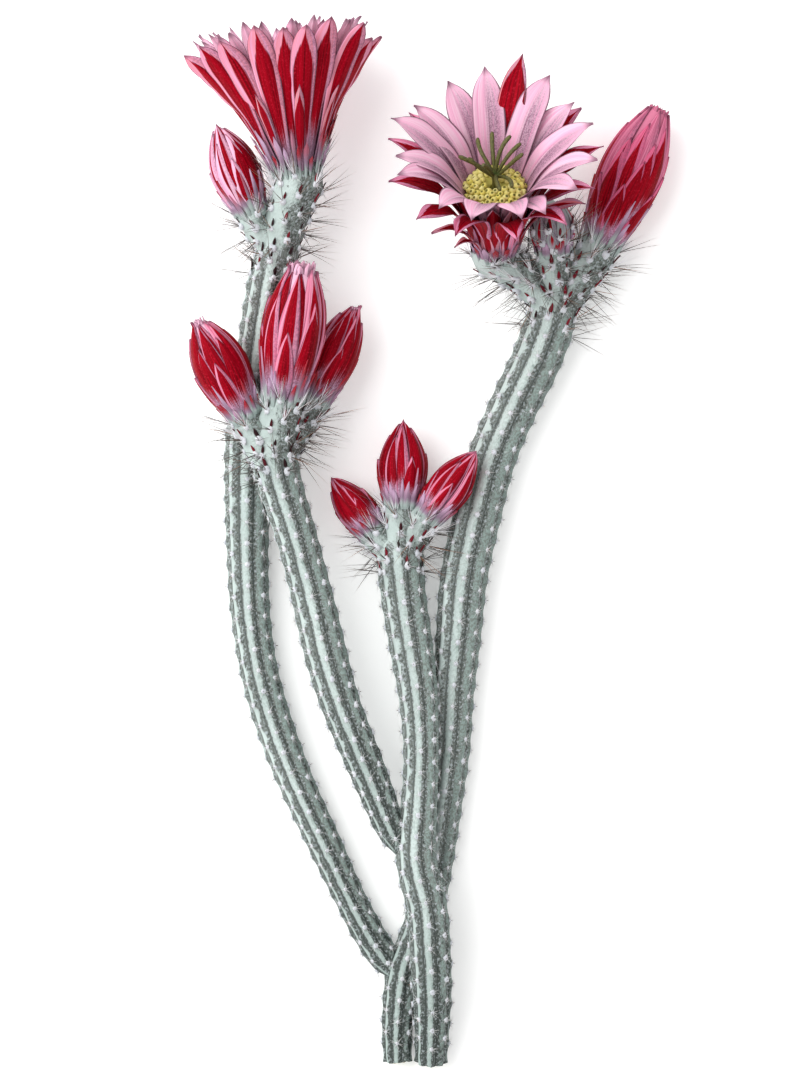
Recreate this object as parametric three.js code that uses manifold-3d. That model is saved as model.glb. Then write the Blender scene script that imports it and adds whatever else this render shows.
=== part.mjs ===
// A slender hedgehog cactus in flower: two cut, branched stems of one plant, laid on a surface.
// Millimetres, +Z up. The stems run from their cut ends at -Y to their flowers at +Y. The origin
// is on the surface, below the middle of the plant.
import * as THREE from 'three';
import { mergeVertices } from 'three/addons/utils/BufferGeometryUtils.js';
import Module from 'manifold-3d';

const wasm = await Module();
wasm.setup();

const GAP = 0.3; // clearance between neighbouring pieces

// Stems
const RIBS = 8;
const FURROW = 0.2; // depth of a furrow, as a share of the stem's radius
const STEM_STEP = 6; // length of stem from one section to the next
const AREOLE_RISE = 0.4; // height of the woolly areoles along each rib

// Floral tubes, which are stem tissue, and the spines on them
const TUBE_SIDES = 8;
const TUBE_STEP = 4.5;
const TUBE_KNOBS = 0.07; // height of the scales, as a share of the tube's radius
const TUBE_LEAD = 5; // straight length of tube below its rim
const SPINES_PER_TUBE = 10;
const SPINE_TRIES = 30;
const SPINE_ZONE = [0.35, 0.95]; // the part of a tube, from root to rim, that bears them
const SPINE_LEAN = [0.25, 0.85]; // how far they lean forward, least and most
const SPINE_LENGTH = [8.5, 12]; // shortest and longest
const SPINE_RADIUS = 0.45;
const SPINE_SINK = 0.9; // depth of a spine's root in the tube
const SPINE_FLOOR = 0.5; // lowest that a spine's tip comes

// Tepals
const TEPAL_THICKNESS = 1.1; // along the midrib
const TEPAL_STATIONS = [0, 0.3, 0.6, 0.85, 1];
const TEPAL_ROOT_WIDTH = 0.28; // as a share of the full width
const TEPAL_SHOULDER = 0.66; // where along its length a tepal is widest
const TEPAL_TAPER = 2.4; // the higher, the later it narrows to its point
const TEPAL_TIP = 0.5; // width of its point
const TEPAL_CUPPING = 0.16; // lift of the edges, as a share of half the width
const TEPAL_LAYER = 0.9; // distance between one layer of tepals and the next
const TEPAL_STRETCH = [0.94, 1.04]; // shortest and longest, as a share of the usual length
const CUP_RING = 1.1; // thickness of the ring that the tepals of a layer grow from
const CUP_BORE = 1.8; // radius of its hole, which the style passes through
const CUP_SIDES = 16;

// Stamens, packed to one head with a knobbly dome
const STAMEN_SIDES = 20;
const STAMEN_FOOT = 3; // radius where they are attached
const STAMEN_WAIST = [0.62, 0.55]; // shares of the head's radius and of its height
const STAMEN_DOME = [[1, -2.2], [0.82, -0.6], [0.58, 0.3], [0.36, 0]]; // share of radius, height
const STAMEN_DIMPLE = 1.4; // depth of the hollow round the style
const STAMEN_KNOB = 0.7;

// Style and the finger-like stigma lobes on it
const STYLE_RADIUS = 1;
const STYLE_SIDES = 6;
const STYLE_KNOB = 0.6; // height of its end over the fork of the lobes
const LOBE_STATIONS = [0, 0.35, 0.7, 1];
const LOBE_SIDES = 4;
const LOBE_RADIUS = [0.65, 0.45]; // along its length and at its tip
const LOBE_ROOT = 1; // depth of its root in the style
const LOBE_SPREAD = [22, 62]; // degrees from the style at its root and at its tip
const LOBE_DRIFT = 0.3; // radians
const LOBE_STRETCH = [0.85, 1]; // shortest and longest, as a share of the usual length

// Buds
const BUD_FLUTES = 5; // long tepals round a bud, which meet in its tip
const BUD_STATIONS = 8;
const BUD_SWELL = 1.25; // moves a bud's widest place up towards its tip
const BUD_GROOVE = 0.09; // depth of the grooves between them, as a share of the radius
const BUD_TIP = 0.3; // least radius
const SEPAL_REACH = 0.66; // how far the short outer tepals reach up a bud
const SEPAL_CLEAR = 0.2; // how far their inner face stands off it
const SEPAL_THICKNESS = 0.8;
const SEPAL_STATIONS = [0, 0.4, 0.75, 1];
const SEPAL_SPREAD = [0.6, 0.04]; // half width, as a share of half the angle between two seams
const SEPAL_TWIST = 0.03; // radians that they stand aside of the seams

const TURN = Math.PI * 2;
const DEGREE = Math.PI / 180;
const GOLDEN_ANGLE = Math.PI * (3 - Math.sqrt(5));
const SAME_POINT = 1e-5; // corners closer than this are one
const SLIVER = 0.01; // details smaller than this are smoothed away where pieces are joined

// Middle line of each stem and branch: x, y, z and radius
const FRONT_TRUNK = [
  [0.2, -156, 4.3, 4.7], [0.6, -144.5, 7.9, 5.2], [0.6, -134, 12.2, 5.7], [0, -121.5, 16, 5.9],
  [-0.9, -109.5, 17.3, 6], [-3.8, -97, 17.2, 6], [-4.2, -88.5, 16.2, 5.7], [-3.2, -75.5, 15, 5.2],
  [-2.8, -61, 13.8, 5.2], [-3.8, -44.5, 12.4, 5.8], [-6, -29.5, 10.8, 6.4], [-8, -16, 10, 6.7],
  [-9, -4, 10, 6.9], [-9, 0.5, 10.2, 5],
];
const FRONT_BRANCH = [
  [-7, -94, 16.1, 3.4], [-11.4, -86, 15.8, 4.4], [-17.5, -71, 14.6, 5.2], [-22.5, -59, 14, 5.6],
  [-27, -47.5, 13.8, 5.9], [-31, -34, 13.8, 6.2], [-35, -17, 14.3, 6.1], [-39.5, 0.5, 15.8, 6],
  [-43.5, 13.5, 17.8, 6.2], [-46.5, 24.5, 20, 6.6], [-48, 29, 20.6, 4.6],
];
const BACK_TRUNK = [
  [-9.7, -156, 3.6, 4], [-9.8, -146.5, 4.1, 4.5], [-9, -136, 4.5, 5], [-7.5, -127, 4.6, 5.1],
  [-4.5, -119.5, 4.7, 5.1], [-1.5, -111, 4.7, 5.2], [0.5, -101.5, 4.8, 5.3], [2.5, -89.5, 4.9, 5.4],
  [4, -77.5, 5.1, 5.6], [6, -61, 5.3, 5.9], [7, -44.5, 5.6, 6.2], [8.5, -28, 6, 6.6],
  [10, -11.5, 6.4, 7], [13.5, 5.5, 6.5, 7.1], [18, 23.5, 6.5, 7.1], [24.6, 39.5, 6.7, 7.2],
  [31.6, 54, 7.2, 7.3], [36, 66, 8.2, 7.3], [38, 72, 8.6, 6],
];
const BACK_BRANCH = [
  [-8, -130.5, 4.9, 3.4], [-12.5, -126, 4.7, 4.5], [-18.5, -117, 4.6, 4.7], [-25, -104.5, 4.5, 4.5],
  [-32, -89.5, 4.6, 5], [-39, -74.5, 4.8, 5.2], [-45, -59.5, 4.9, 5.4], [-50.5, -41.5, 5, 5.6],
  [-53.5, -23.5, 5.1, 5.7], [-54.5, -5.5, 5.5, 6.1], [-54.5, 12.5, 6.3, 6.8], [-54, 30, 7.2, 7],
  [-52, 48, 8.8, 6.9], [-49.5, 64.5, 11.8, 6.8], [-47.5, 77, 15.2, 6.6], [-45, 86.5, 18.4, 6.2],
];

// Each shoot is a floral tube with a bloom or a bud on it. Its root is inside the stem that it
// grows from, its base is the middle of the tube's rim, and its tip is where the bloom or bud
// points. Root, bend and base are x, y, z and the tube's radius. Turn is where the first tepal
// stands and drift the most that one stands aside of its even place, both in radians. Upper is
// what is added on the flower's upper side: degrees to a tepal's lean and flare, and a share to
// its length.
const TALL_BLOOM = {
  name: 'tall_bloom', stem: 'stem_back', root: [-46, 83, 17.2, 6], bend: [-42.5, 95, 21, 6.2],
  base: [-39.5, 111, 24.6, 7.2], tip: [-44, 147, 30.5],
  outer: {
    count: 18, length: 42, width: 8, lean: 27, flare: 45.5, root: 5.9,
    upper: { lean: -7.5, flare: -15.5, length: 0.15 }, turn: 0, drift: 0.06, seed: 100,
  },
  inner: {
    count: 16, length: 43.5, width: 7.6, lean: 23, flare: 41.5, root: 4.1,
    upper: { lean: -8, flare: -15.5, length: 0.02 }, turn: 0, drift: 0.06, seed: 150,
  },
  stamens: { top: 22, radius: 8.2 },
  style: { top: 24, lobes: 8, lobeLength: 9 },
};
const OPEN_BLOOM = {
  name: 'open_bloom', stem: 'stem_back', root: [37.5, 68.5, 8.4, 5.2], bend: [28.5, 78.5, 11.6, 5.6],
  base: [19.4, 88, 18.3, 6.8], tip: [18.7, 113.8, 46.6],
  outer: {
    count: 13, length: 46.5, width: 7.6, lean: 15, flare: 79, root: 6,
    upper: { lean: 0, flare: 10, length: -0.02 }, turn: 0.16, drift: 0.1, seed: 378,
  },
  inner: {
    count: 16, length: 50.7, width: 9, lean: 10.5, flare: 75, root: 4.3,
    upper: { lean: 0, flare: 10, length: 0 }, turn: 0.13, drift: 0.1, seed: 428,
  },
  stamens: { top: 25, radius: 9 },
  style: { top: 28.5, lobes: 10, lobeLength: 14 },
};
const BUDS = [
  {
    name: 'tall_side_bud', stem: 'stem_back', root: [-45, 86, 18, 4.6],
    base: [-53.4, 98.6, 19.8, 4.6], tip: [-63.4, 123.3, 22], radius: 7.1, blunt: 0,
  },
  {
    name: 'right_bud', stem: 'stem_back', root: [39, 70, 8.8, 5],
    base: [50.8, 89.5, 9.9, 6], tip: [68, 128, 10.6], radius: 9.3, blunt: 0.12,
  },
  {
    name: 'right_young_bud', stem: 'stem_back', root: [38, 70, 9, 4.6],
    base: [36.4, 88.3, 17, 5.2], tip: [35.6, 100, 23.4], radius: 6.1, blunt: 0.12,
  },
  {
    name: 'left_bud_left', stem: 'stem_front', root: [-48, 23.5, 20, 5],
    base: [-55.2, 38, 21.8, 4.9], tip: [-68.3, 64, 25], radius: 7.9, blunt: 0.1,
  },
  {
    name: 'left_bud_centre', stem: 'stem_front', root: [-47, 23.5, 20, 5.8],
    base: [-43.5, 43, 24, 6.1], tip: [-38, 79, 30], radius: 9.2, blunt: 0.16,
  },
  {
    name: 'left_bud_right', stem: 'stem_front', root: [-46, 24, 19.6, 5],
    base: [-34.5, 42.5, 14.6, 4.8], tip: [-22.5, 69, 12], radius: 6.8, blunt: 0.08,
  },
  {
    name: 'centre_bud_left', stem: 'stem_front', root: [-10, -5.5, 9.8, 4.6],
    base: [-17.6, 3.8, 9.4, 4.4], tip: [-29.4, 18.8, 8.6], radius: 5.3, blunt: 0,
  },
  {
    name: 'centre_bud_centre', stem: 'stem_front', root: [-9, -5.5, 10, 5.4],
    base: [-8.5, 11.5, 10.6, 5.1], tip: [-8, 36, 11], radius: 7, blunt: 0,
  },
  {
    name: 'centre_bud_right', stem: 'stem_front', root: [-8, -5.5, 9.6, 4.6],
    base: [0, 8.5, 13.6, 4.5], tip: [13.5, 26.5, 19], radius: 5.9, blunt: 0,
  },
];

const STEM_LOOK = { color: 0xa9bdb0, roughness: 0.75, metalness: 0 };
const CRIMSON_LOOK = { color: 0xa50f26, roughness: 0.55, metalness: 0 };
const PINK_LOOK = { color: 0xeb9cc0, roughness: 0.55, metalness: 0 };
const STAMEN_LOOK = { color: 0xe3d054, roughness: 0.8, metalness: 0 };
const STYLE_LOOK = { color: 0x6f8040, roughness: 0.6, metalness: 0 };

// Numbers between 0 and 1 that are the same on every run.
function draw(seed) {
  const value = Math.sin(seed * 127.1) * 43758.5453;
  return value - Math.floor(value);
}

function between([least, most], seed) {
  return THREE.MathUtils.lerp(least, most, draw(seed));
}

// ---- Surfaces and solids

// Closed surface through rings of points with equal counts. The rings either end in two flat caps
// or, when looped, join up like a torus. The split of the quads alternates, so that the two faces
// of a thin blade are split alike.
function skin(rings, looped = false) {
  const sides = rings[0].length;
  const points = rings.flat();
  const faces = [];
  const spans = looped ? rings.length : rings.length - 1;
  for (let i = 0; i < spans; i += 1) {
    for (let k = 0; k < sides; k += 1) {
      const next = (k + 1) % sides;
      const a = i * sides + k;
      const b = i * sides + next;
      const c = ((i + 1) % rings.length) * sides + k;
      const d = ((i + 1) % rings.length) * sides + next;
      if (k % 2 === 0) {
        faces.push(a, c, b, b, c, d);
      } else {
        faces.push(a, c, d, a, d, b);
      }
    }
  }
  if (!looped) {
    [0, rings.length - 1].forEach((i) => {
      const middle = rings[i].reduce((sum, p) => sum.add(p), new THREE.Vector3()).divideScalar(sides);
      points.push(middle);
      for (let k = 0; k < sides; k += 1) {
        const a = i * sides + k;
        const b = i * sides + ((k + 1) % sides);
        faces.push(points.length - 1, ...(i === 0 ? [a, b] : [b, a]));
      }
    });
  }
  const geometry = new THREE.BufferGeometry().setFromPoints(points);
  geometry.setIndex(faces);
  return geometry;
}

function toSolid(geometry) {
  const bare = geometry.clone();
  bare.deleteAttribute('normal');
  bare.deleteAttribute('uv');
  const merged = mergeVertices(bare, SAME_POINT);
  return new wasm.Manifold(new wasm.Mesh({
    numProp: 3,
    vertProperties: new Float32Array(merged.attributes.position.array),
    triVerts: new Uint32Array(merged.index.array),
  }));
}

// Joins solids and keeps the one outer body, without sealed hollows or loose scraps.
function fuse(solids) {
  const joined = solids.reduce((sum, solid) => sum.add(solid));
  const bodies = joined.simplify(SLIVER).decompose();
  return bodies.reduce((best, body) => (body.volume() > best.volume() ? body : best));
}

function toMesh(name, solid, look) {
  const { vertProperties, triVerts } = solid.getMesh();
  const geometry = new THREE.BufferGeometry();
  geometry.setAttribute('position', new THREE.BufferAttribute(vertProperties, 3));
  geometry.setIndex(new THREE.BufferAttribute(triVerts, 1));
  geometry.computeVertexNormals();
  const mesh = new THREE.Mesh(geometry, new THREE.MeshStandardMaterial(look));
  mesh.name = name;
  return mesh;
}

// ---- Routes

function catmullRom(a, b, c, d, t) {
  const slope = (c - a) * t;
  const bend = (2 * a - 5 * b + 4 * c - d) * t * t;
  const twist = (3 * b - a - 3 * c + d) * t * t * t;
  return 0.5 * (2 * b + slope + bend + twist);
}

function alongRoute(route, u) {
  const i = Math.min(Math.floor(u), route.length - 2);
  const near = [i - 1, i, i + 1, i + 2].map((k) => route[THREE.MathUtils.clamp(k, 0, route.length - 1)]);
  return near[1].map((_, k) => catmullRom(near[0][k], near[1][k], near[2][k], near[3][k], u - i));
}

// Axes of a section: forward along the middle line, up as far as that allows, and sideways.
function axesAt(point, direction) {
  const forward = direction.clone().normalize();
  const up = new THREE.Vector3(0, 0, 1).projectOnPlane(forward).normalize();
  const side = new THREE.Vector3().crossVectors(forward, up);
  return { point, forward, up, side };
}

// Evenly spaced sections along a route.
function sections(route, step) {
  const fine = 40;
  const count = (route.length - 1) * fine;
  const trail = Array.from({ length: count + 1 }, (_, k) => alongRoute(route, k / fine));
  const places = trail.map(([x, y, z]) => new THREE.Vector3(x, y, z));
  const reach = [0];
  for (let k = 1; k <= count; k += 1) {
    reach.push(reach[k - 1] + places[k].distanceTo(places[k - 1]));
  }
  const total = reach[count];
  const spans = Math.max(2, Math.round(total / step));
  return Array.from({ length: spans + 1 }, (_, n) => {
    const k = n === spans ? count : reach.findIndex((distance) => distance >= (total * n) / spans);
    const direction = places[Math.min(k + 1, count)].clone().sub(places[Math.max(k - 1, 0)]);
    return { ...axesAt(places[k], direction), radius: trail[k][3] };
  });
}

function around({ point, up, side }, angle, radius) {
  return point.clone()
    .addScaledVector(side, Math.cos(angle) * radius)
    .addScaledVector(up, Math.sin(angle) * radius);
}

// ---- Stems

// A stem with a rib to each side and areoles at every other section, staggered from rib to rib.
function ribbedStem(route) {
  const rings = sections(route, STEM_STEP).map((section, i) => (
    Array.from({ length: 2 * RIBS }, (_, k) => {
      const onRib = k % 2 === 0;
      const onAreole = onRib && (i + k / 2) % 2 === 0;
      const radius = section.radius * (onRib ? 1 : 1 - FURROW) + (onAreole ? AREOLE_RISE : 0);
      return around(section, (k / (2 * RIBS)) * TURN, radius);
    })
  ));
  return toSolid(skin(rings));
}

function shootAxes({ base, tip }) {
  const rim = new THREE.Vector3(...base);
  return axesAt(rim, new THREE.Vector3(...tip).sub(rim));
}

// The tube's middle line ends in a short straight lead, square to the rim.
function tubeSections(shoot) {
  const { point, forward } = shootAxes(shoot);
  const lead = point.clone().addScaledVector(forward, -TUBE_LEAD).toArray();
  const bend = shoot.bend ? [shoot.bend] : [];
  const route = [shoot.root, ...bend, [...lead, shoot.base[3]], shoot.base];
  const rows = sections(route, TUBE_STEP);
  const rim = { ...shootAxes(shoot), radius: shoot.base[3] };
  return [...rows.slice(0, -1), rim];
}

// A floral tube, knobbly with the scales that spiral up it.
function scalyTube(shoot) {
  const rows = tubeSections(shoot);
  const rings = rows.map((section, i) => {
    const knobs = i === rows.length - 1 ? 0 : TUBE_KNOBS;
    return Array.from({ length: TUBE_SIDES }, (_, k) => (
      around(section, (k / TUBE_SIDES) * TURN, section.radius * (1 + knobs * ((i + k) % 2 ? 1 : -1)))
    ));
  });
  return toSolid(skin(rings));
}

// One thin three-sided spine, a little fatter when it is only held up to its neighbours.
function spine(foot, direction, length, fatness = 0) {
  const cone = new THREE.ConeGeometry(SPINE_RADIUS + fatness, length + SPINE_SINK + fatness, 3);
  cone.translate(0, (length - SPINE_SINK) / 2, 0);
  cone.applyQuaternion(new THREE.Quaternion().setFromUnitVectors(new THREE.Vector3(0, 1, 0), direction));
  cone.translate(...foot.toArray());
  return toSolid(cone);
}

// Spines stand out all round a tube and lean towards its rim. One that would come below the
// surface is turned up, and one that would run through a tepal or another stem is left off.
function tubeSpines(shoot, seed, neighbours) {
  const rows = tubeSections(shoot);
  const found = [];
  for (let n = 0; n < SPINE_TRIES && found.length < SPINES_PER_TUBE; n += 1) {
    const share = between(SPINE_ZONE, seed + n);
    const section = rows[Math.round(share * (rows.length - 1))];
    const angle = (n + seed) * GOLDEN_ANGLE;
    const foot = around(section, angle, section.radius * (1 - TUBE_KNOBS));
    const direction = foot.clone().sub(section.point).normalize();
    direction.addScaledVector(section.forward, between(SPINE_LEAN, seed + n + 0.5)).normalize();
    const length = between(SPINE_LENGTH, seed + n + 0.25);
    if (foot.z + direction.z * length < SPINE_FLOOR) {
      direction.z = (SPINE_FLOOR - foot.z) / length;
      direction.normalize();
    }
    const trial = spine(foot, direction, length, GAP);
    if (neighbours.every((solid) => trial.intersect(solid).isEmpty())) {
      found.push(spine(foot, direction, length));
    }
  }
  return found;
}

// ---- Tepals

function tepalWidth(width, s) {
  if (s < TEPAL_SHOULDER) {
    const swell = Math.sin((Math.PI / 2) * (s / TEPAL_SHOULDER)) ** 2;
    return width * THREE.MathUtils.lerp(TEPAL_ROOT_WIDTH, 1, swell);
  }
  const taper = (s - TEPAL_SHOULDER) / (1 - TEPAL_SHOULDER);
  return Math.max(width * (1 - taper ** TEPAL_TAPER), TEPAL_TIP);
}

// A tepal's angle to the flower's axis: it leans at its root and bends outward towards its point.
function tepalAngle({ lean, flare }, s) {
  return THREE.MathUtils.lerp(lean, flare, s * s) * DEGREE;
}

// Distance from the axis and height above the rim, at share s of a tepal's length.
function tepalPlace(plan, root, s) {
  const steps = 24;
  const stride = (plan.length * s) / steps;
  let radius = root;
  let height = plan.rise;
  for (let k = 0; k < steps; k += 1) {
    const angle = tepalAngle(plan, (s * (k + 0.5)) / steps);
    radius += Math.sin(angle) * stride;
    height += Math.cos(angle) * stride;
  }
  return [radius, height];
}

// The plan of a tepal at an azimuth. Azimuth 0 is the flower's upper side.
function planAt(plan, azimuth) {
  const share = Math.max(0, Math.cos(azimuth));
  return {
    ...plan,
    lean: plan.lean + plan.upper.lean * share,
    flare: plan.flare + plan.upper.flare * share,
    length: plan.length * (1 + plan.upper.length * share),
  };
}

// One tepal, lens-shaped in section, with its edges lifted towards the axis.
function tepal(plan, azimuth, root) {
  const outward = new THREE.Vector3(Math.cos(azimuth), Math.sin(azimuth), 0);
  const across = new THREE.Vector3(-Math.sin(azimuth), Math.cos(azimuth), 0);
  const rings = TEPAL_STATIONS.map((s) => {
    const [radius, height] = tepalPlace(plan, root, s);
    const angle = tepalAngle(plan, s);
    const inward = outward.clone().multiplyScalar(-Math.cos(angle));
    inward.z = Math.sin(angle);
    const middle = outward.clone().multiplyScalar(radius);
    middle.z = height;
    const half = tepalWidth(plan.width, s) / 2;
    const thick = s === 1 ? TEPAL_THICKNESS / 4 : TEPAL_THICKNESS / 2;
    const edge = (sign) => middle.clone()
      .addScaledVector(across, sign * half)
      .addScaledVector(inward, half * TEPAL_CUPPING);
    return [
      edge(-1),
      middle.clone().addScaledVector(inward, thick),
      edge(1),
      middle.clone().addScaledVector(inward, -thick),
    ];
  });
  return toSolid(skin(rings));
}

// A flat ring round the flower's axis.
function ring(inner, outer, low, high) {
  const profile = [[inner, low], [outer, low], [outer, high], [inner, high]];
  return toSolid(skin(Array.from({ length: CUP_SIDES }, (_, k) => {
    const angle = (k / CUP_SIDES) * TURN;
    return profile.map(([r, z]) => new THREE.Vector3(r * Math.cos(angle), r * Math.sin(angle), z));
  }), true));
}

// The tepals of one colour: two staggered layers that grow from one ring.
function cup(plan, low) {
  const high = low + CUP_RING;
  const blades = Array.from({ length: plan.count }, (_, n) => {
    const drift = between([-plan.drift, plan.drift], plan.seed + n);
    const azimuth = plan.turn + (n / plan.count) * TURN + drift;
    const stretch = between(TEPAL_STRETCH, plan.seed + n + 0.5);
    const layer = n % 2 ? TEPAL_LAYER : 0;
    const blade = { ...plan, rise: low + CUP_RING / 2, length: plan.length * stretch };
    return tepal(planAt(blade, azimuth), azimuth, plan.root + layer);
  });
  const outer = plan.root + TEPAL_LAYER;
  return fuse([ring(CUP_BORE, outer, low, high), ...blades]);
}

// ---- Stamens and style

// The packed stamens fill the flower's throat and end in a low, knobbly dome.
function stamenHead({ top, radius }, low) {
  const [waistRadius, waistHeight] = STAMEN_WAIST;
  const [shoulder, ...dome] = STAMEN_DOME.map(([share, height]) => [radius * share, top + height]);
  const wall = [
    [CUP_BORE, low],
    [STAMEN_FOOT, low],
    [radius * waistRadius, top * waistHeight],
    shoulder,
  ];
  const profile = [...wall, ...dome, [CUP_BORE, top - STAMEN_DIMPLE]];
  const rings = Array.from({ length: STAMEN_SIDES }, (_, k) => {
    const angle = (k / STAMEN_SIDES) * TURN;
    return profile.map(([r, z], j) => {
      const knob = j >= wall.length && (j + k) % 2 ? STAMEN_KNOB : 0;
      return new THREE.Vector3(r * Math.cos(angle), r * Math.sin(angle), z + knob);
    });
  });
  return toSolid(skin(rings, true));
}

function rod(trail, sides) {
  const rings = trail.map(({ point, direction, radius }) => {
    const axes = axesAt(point, direction);
    return Array.from({ length: sides }, (_, k) => around(axes, (k / sides) * TURN, radius));
  });
  return toSolid(skin(rings));
}

// The style stands in the middle of the stamens and spreads into finger-like stigma lobes.
function styleWithLobes({ top, lobes, lobeLength }) {
  const almostUp = new THREE.Vector3(0.001, 0, 1);
  const stalk = rod([GAP, top + STYLE_KNOB].map((z) => (
    { point: new THREE.Vector3(0, 0, z), direction: almostUp, radius: STYLE_RADIUS }
  )), STYLE_SIDES);
  const fingers = Array.from({ length: lobes }, (_, n) => {
    const azimuth = (n / lobes) * TURN + LOBE_DRIFT * draw(n);
    const length = lobeLength * between(LOBE_STRETCH, n + 0.5);
    const point = new THREE.Vector3(0, 0, top - LOBE_ROOT);
    const trail = LOBE_STATIONS.map((s, k, all) => {
      const angle = THREE.MathUtils.lerp(...LOBE_SPREAD, s) * DEGREE;
      const direction = new THREE.Vector3(
        Math.sin(angle) * Math.cos(azimuth),
        Math.sin(angle) * Math.sin(azimuth),
        Math.cos(angle),
      );
      point.addScaledVector(direction, length * (k ? s - all[k - 1] : 0));
      return { point: point.clone(), direction, radius: LOBE_RADIUS[s === 1 ? 1 : 0] };
    });
    return rod(trail, LOBE_SIDES);
  });
  return fuse([stalk, ...fingers]);
}

// ---- Buds

function budRadius({ base, radius, blunt }, s) {
  const start = Math.asin(base[3] / radius);
  return radius * Math.sin(THREE.MathUtils.lerp(start, Math.PI * (1 - blunt), s ** BUD_SWELL));
}

// A bud: long tepals folded to a spindle, with a ring of shorter ones over their seams.
function foldedBud(shoot) {
  const length = new THREE.Vector3(...shoot.base).distanceTo(new THREE.Vector3(...shoot.tip));
  const at = (azimuth, radius, height) => (
    new THREE.Vector3(Math.cos(azimuth) * radius, Math.sin(azimuth) * radius, height)
  );
  const sides = 2 * BUD_FLUTES;
  const spindle = Array.from({ length: BUD_STATIONS }, (_, i) => {
    const s = i / (BUD_STATIONS - 1);
    const radius = Math.max(budRadius(shoot, s), BUD_TIP);
    return Array.from({ length: sides }, (_, k) => (
      at((k / sides) * -TURN, radius * (k % 2 ? 1 - BUD_GROOVE : 1), GAP + length * s)
    ));
  });
  const seam = Math.PI / BUD_FLUTES;
  const sepals = Array.from({ length: BUD_FLUTES }, (_, n) => {
    const azimuth = (2 * n + 1) * seam + SEPAL_TWIST;
    const rings = SEPAL_STATIONS.map((t) => {
      const s = t * SEPAL_REACH;
      const radius = budRadius(shoot, s) * (1 - BUD_GROOVE);
      const spread = Math.max(SEPAL_SPREAD[0] * (1 - t ** 3), SEPAL_SPREAD[1]);
      const lift = t === 0 ? -SEPAL_THICKNESS : SEPAL_CLEAR;
      const edge = radius * (1 + BUD_GROOVE * spread) + lift + SEPAL_THICKNESS / 2;
      const height = GAP + length * s + (t === 0 ? SEPAL_CLEAR : 0);
      return [
        at(azimuth + spread * seam, edge, height),
        at(azimuth, radius + lift + SEPAL_THICKNESS, height),
        at(azimuth - spread * seam, edge, height),
        at(azimuth, radius + lift, height),
      ];
    });
    return toSolid(skin(rings));
  });
  return fuse([toSolid(skin(spindle)), ...sepals]);
}

// ---- The plant

// A solid in a shoot's own frame, moved to where the shoot is.
function placing({ point, forward, up, side }) {
  return new THREE.Matrix4().makeBasis(up, side, forward).setPosition(point);
}

function bloomPieces(shoot) {
  const outerLow = GAP;
  const innerLow = outerLow + CUP_RING + GAP;
  const stamenLow = innerLow + CUP_RING + GAP;
  return [
    [`${shoot.name}_outer_tepals`, cup(shoot.outer, outerLow), CRIMSON_LOOK],
    [`${shoot.name}_inner_tepals`, cup(shoot.inner, innerLow), PINK_LOOK],
    [`${shoot.name}_stamens`, stamenHead(shoot.stamens, stamenLow), STAMEN_LOOK],
    [`${shoot.name}_style`, styleWithLobes(shoot.style), STYLE_LOOK],
  ];
}

const heads = [
  ...[TALL_BLOOM, OPEN_BLOOM].map((shoot) => ({ shoot, pieces: bloomPieces(shoot) })),
  ...BUDS.map((shoot) => ({ shoot, pieces: [[shoot.name, foldedBud(shoot), CRIMSON_LOOK]] })),
];

// Flat strips are left where the lowest ribs lie on the surface.
const ground = new THREE.BoxGeometry(400, 500, 20);
ground.translate(0, 0, -ground.parameters.depth / 2);
const belowSurface = toSolid(ground);

const placedHeads = heads.flatMap(({ shoot, pieces }) => {
  const { elements } = placing(shootAxes(shoot));
  return pieces.map(([, solid]) => solid.transform(elements));
});

const bareStems = {
  stem_front: [ribbedStem(FRONT_TRUNK), ribbedStem(FRONT_BRANCH)],
  stem_back: [ribbedStem(BACK_TRUNK), ribbedStem(BACK_BRANCH)],
};
heads.forEach(({ shoot }) => bareStems[shoot.stem].push(scalyTube(shoot)));
const stemBodies = Object.fromEntries(
  Object.entries(bareStems).map(([name, solids]) => [name, fuse(solids)]),
);

function spinyStem(name) {
  const others = Object.keys(stemBodies).filter((other) => other !== name).map((other) => stemBodies[other]);
  const spines = heads.flatMap(({ shoot }, n) => (
    shoot.stem === name ? tubeSpines(shoot, 40 * n, [...placedHeads, ...others]) : []
  ));
  return fuse([fuse([stemBodies[name], ...spines]).subtract(belowSurface)]);
}

const cactus = new THREE.Group();
['stem_back', 'stem_front'].forEach((name) => {
  cactus.add(toMesh(name, spinyStem(name), STEM_LOOK));
});
heads.forEach(({ shoot, pieces }) => {
  const head = new THREE.Group();
  head.applyMatrix4(placing(shootAxes(shoot)));
  pieces.forEach(([name, solid, look]) => head.add(toMesh(name, solid, look)));
  cactus.add(head);
});

export default cactus;
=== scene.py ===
# Looks of a cut, flowering hedgehog cactus that lies on a pale surface.
# Lengths are in millimetres, in the frame's axes, until a mesh is made from them in metres.
import math

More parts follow.
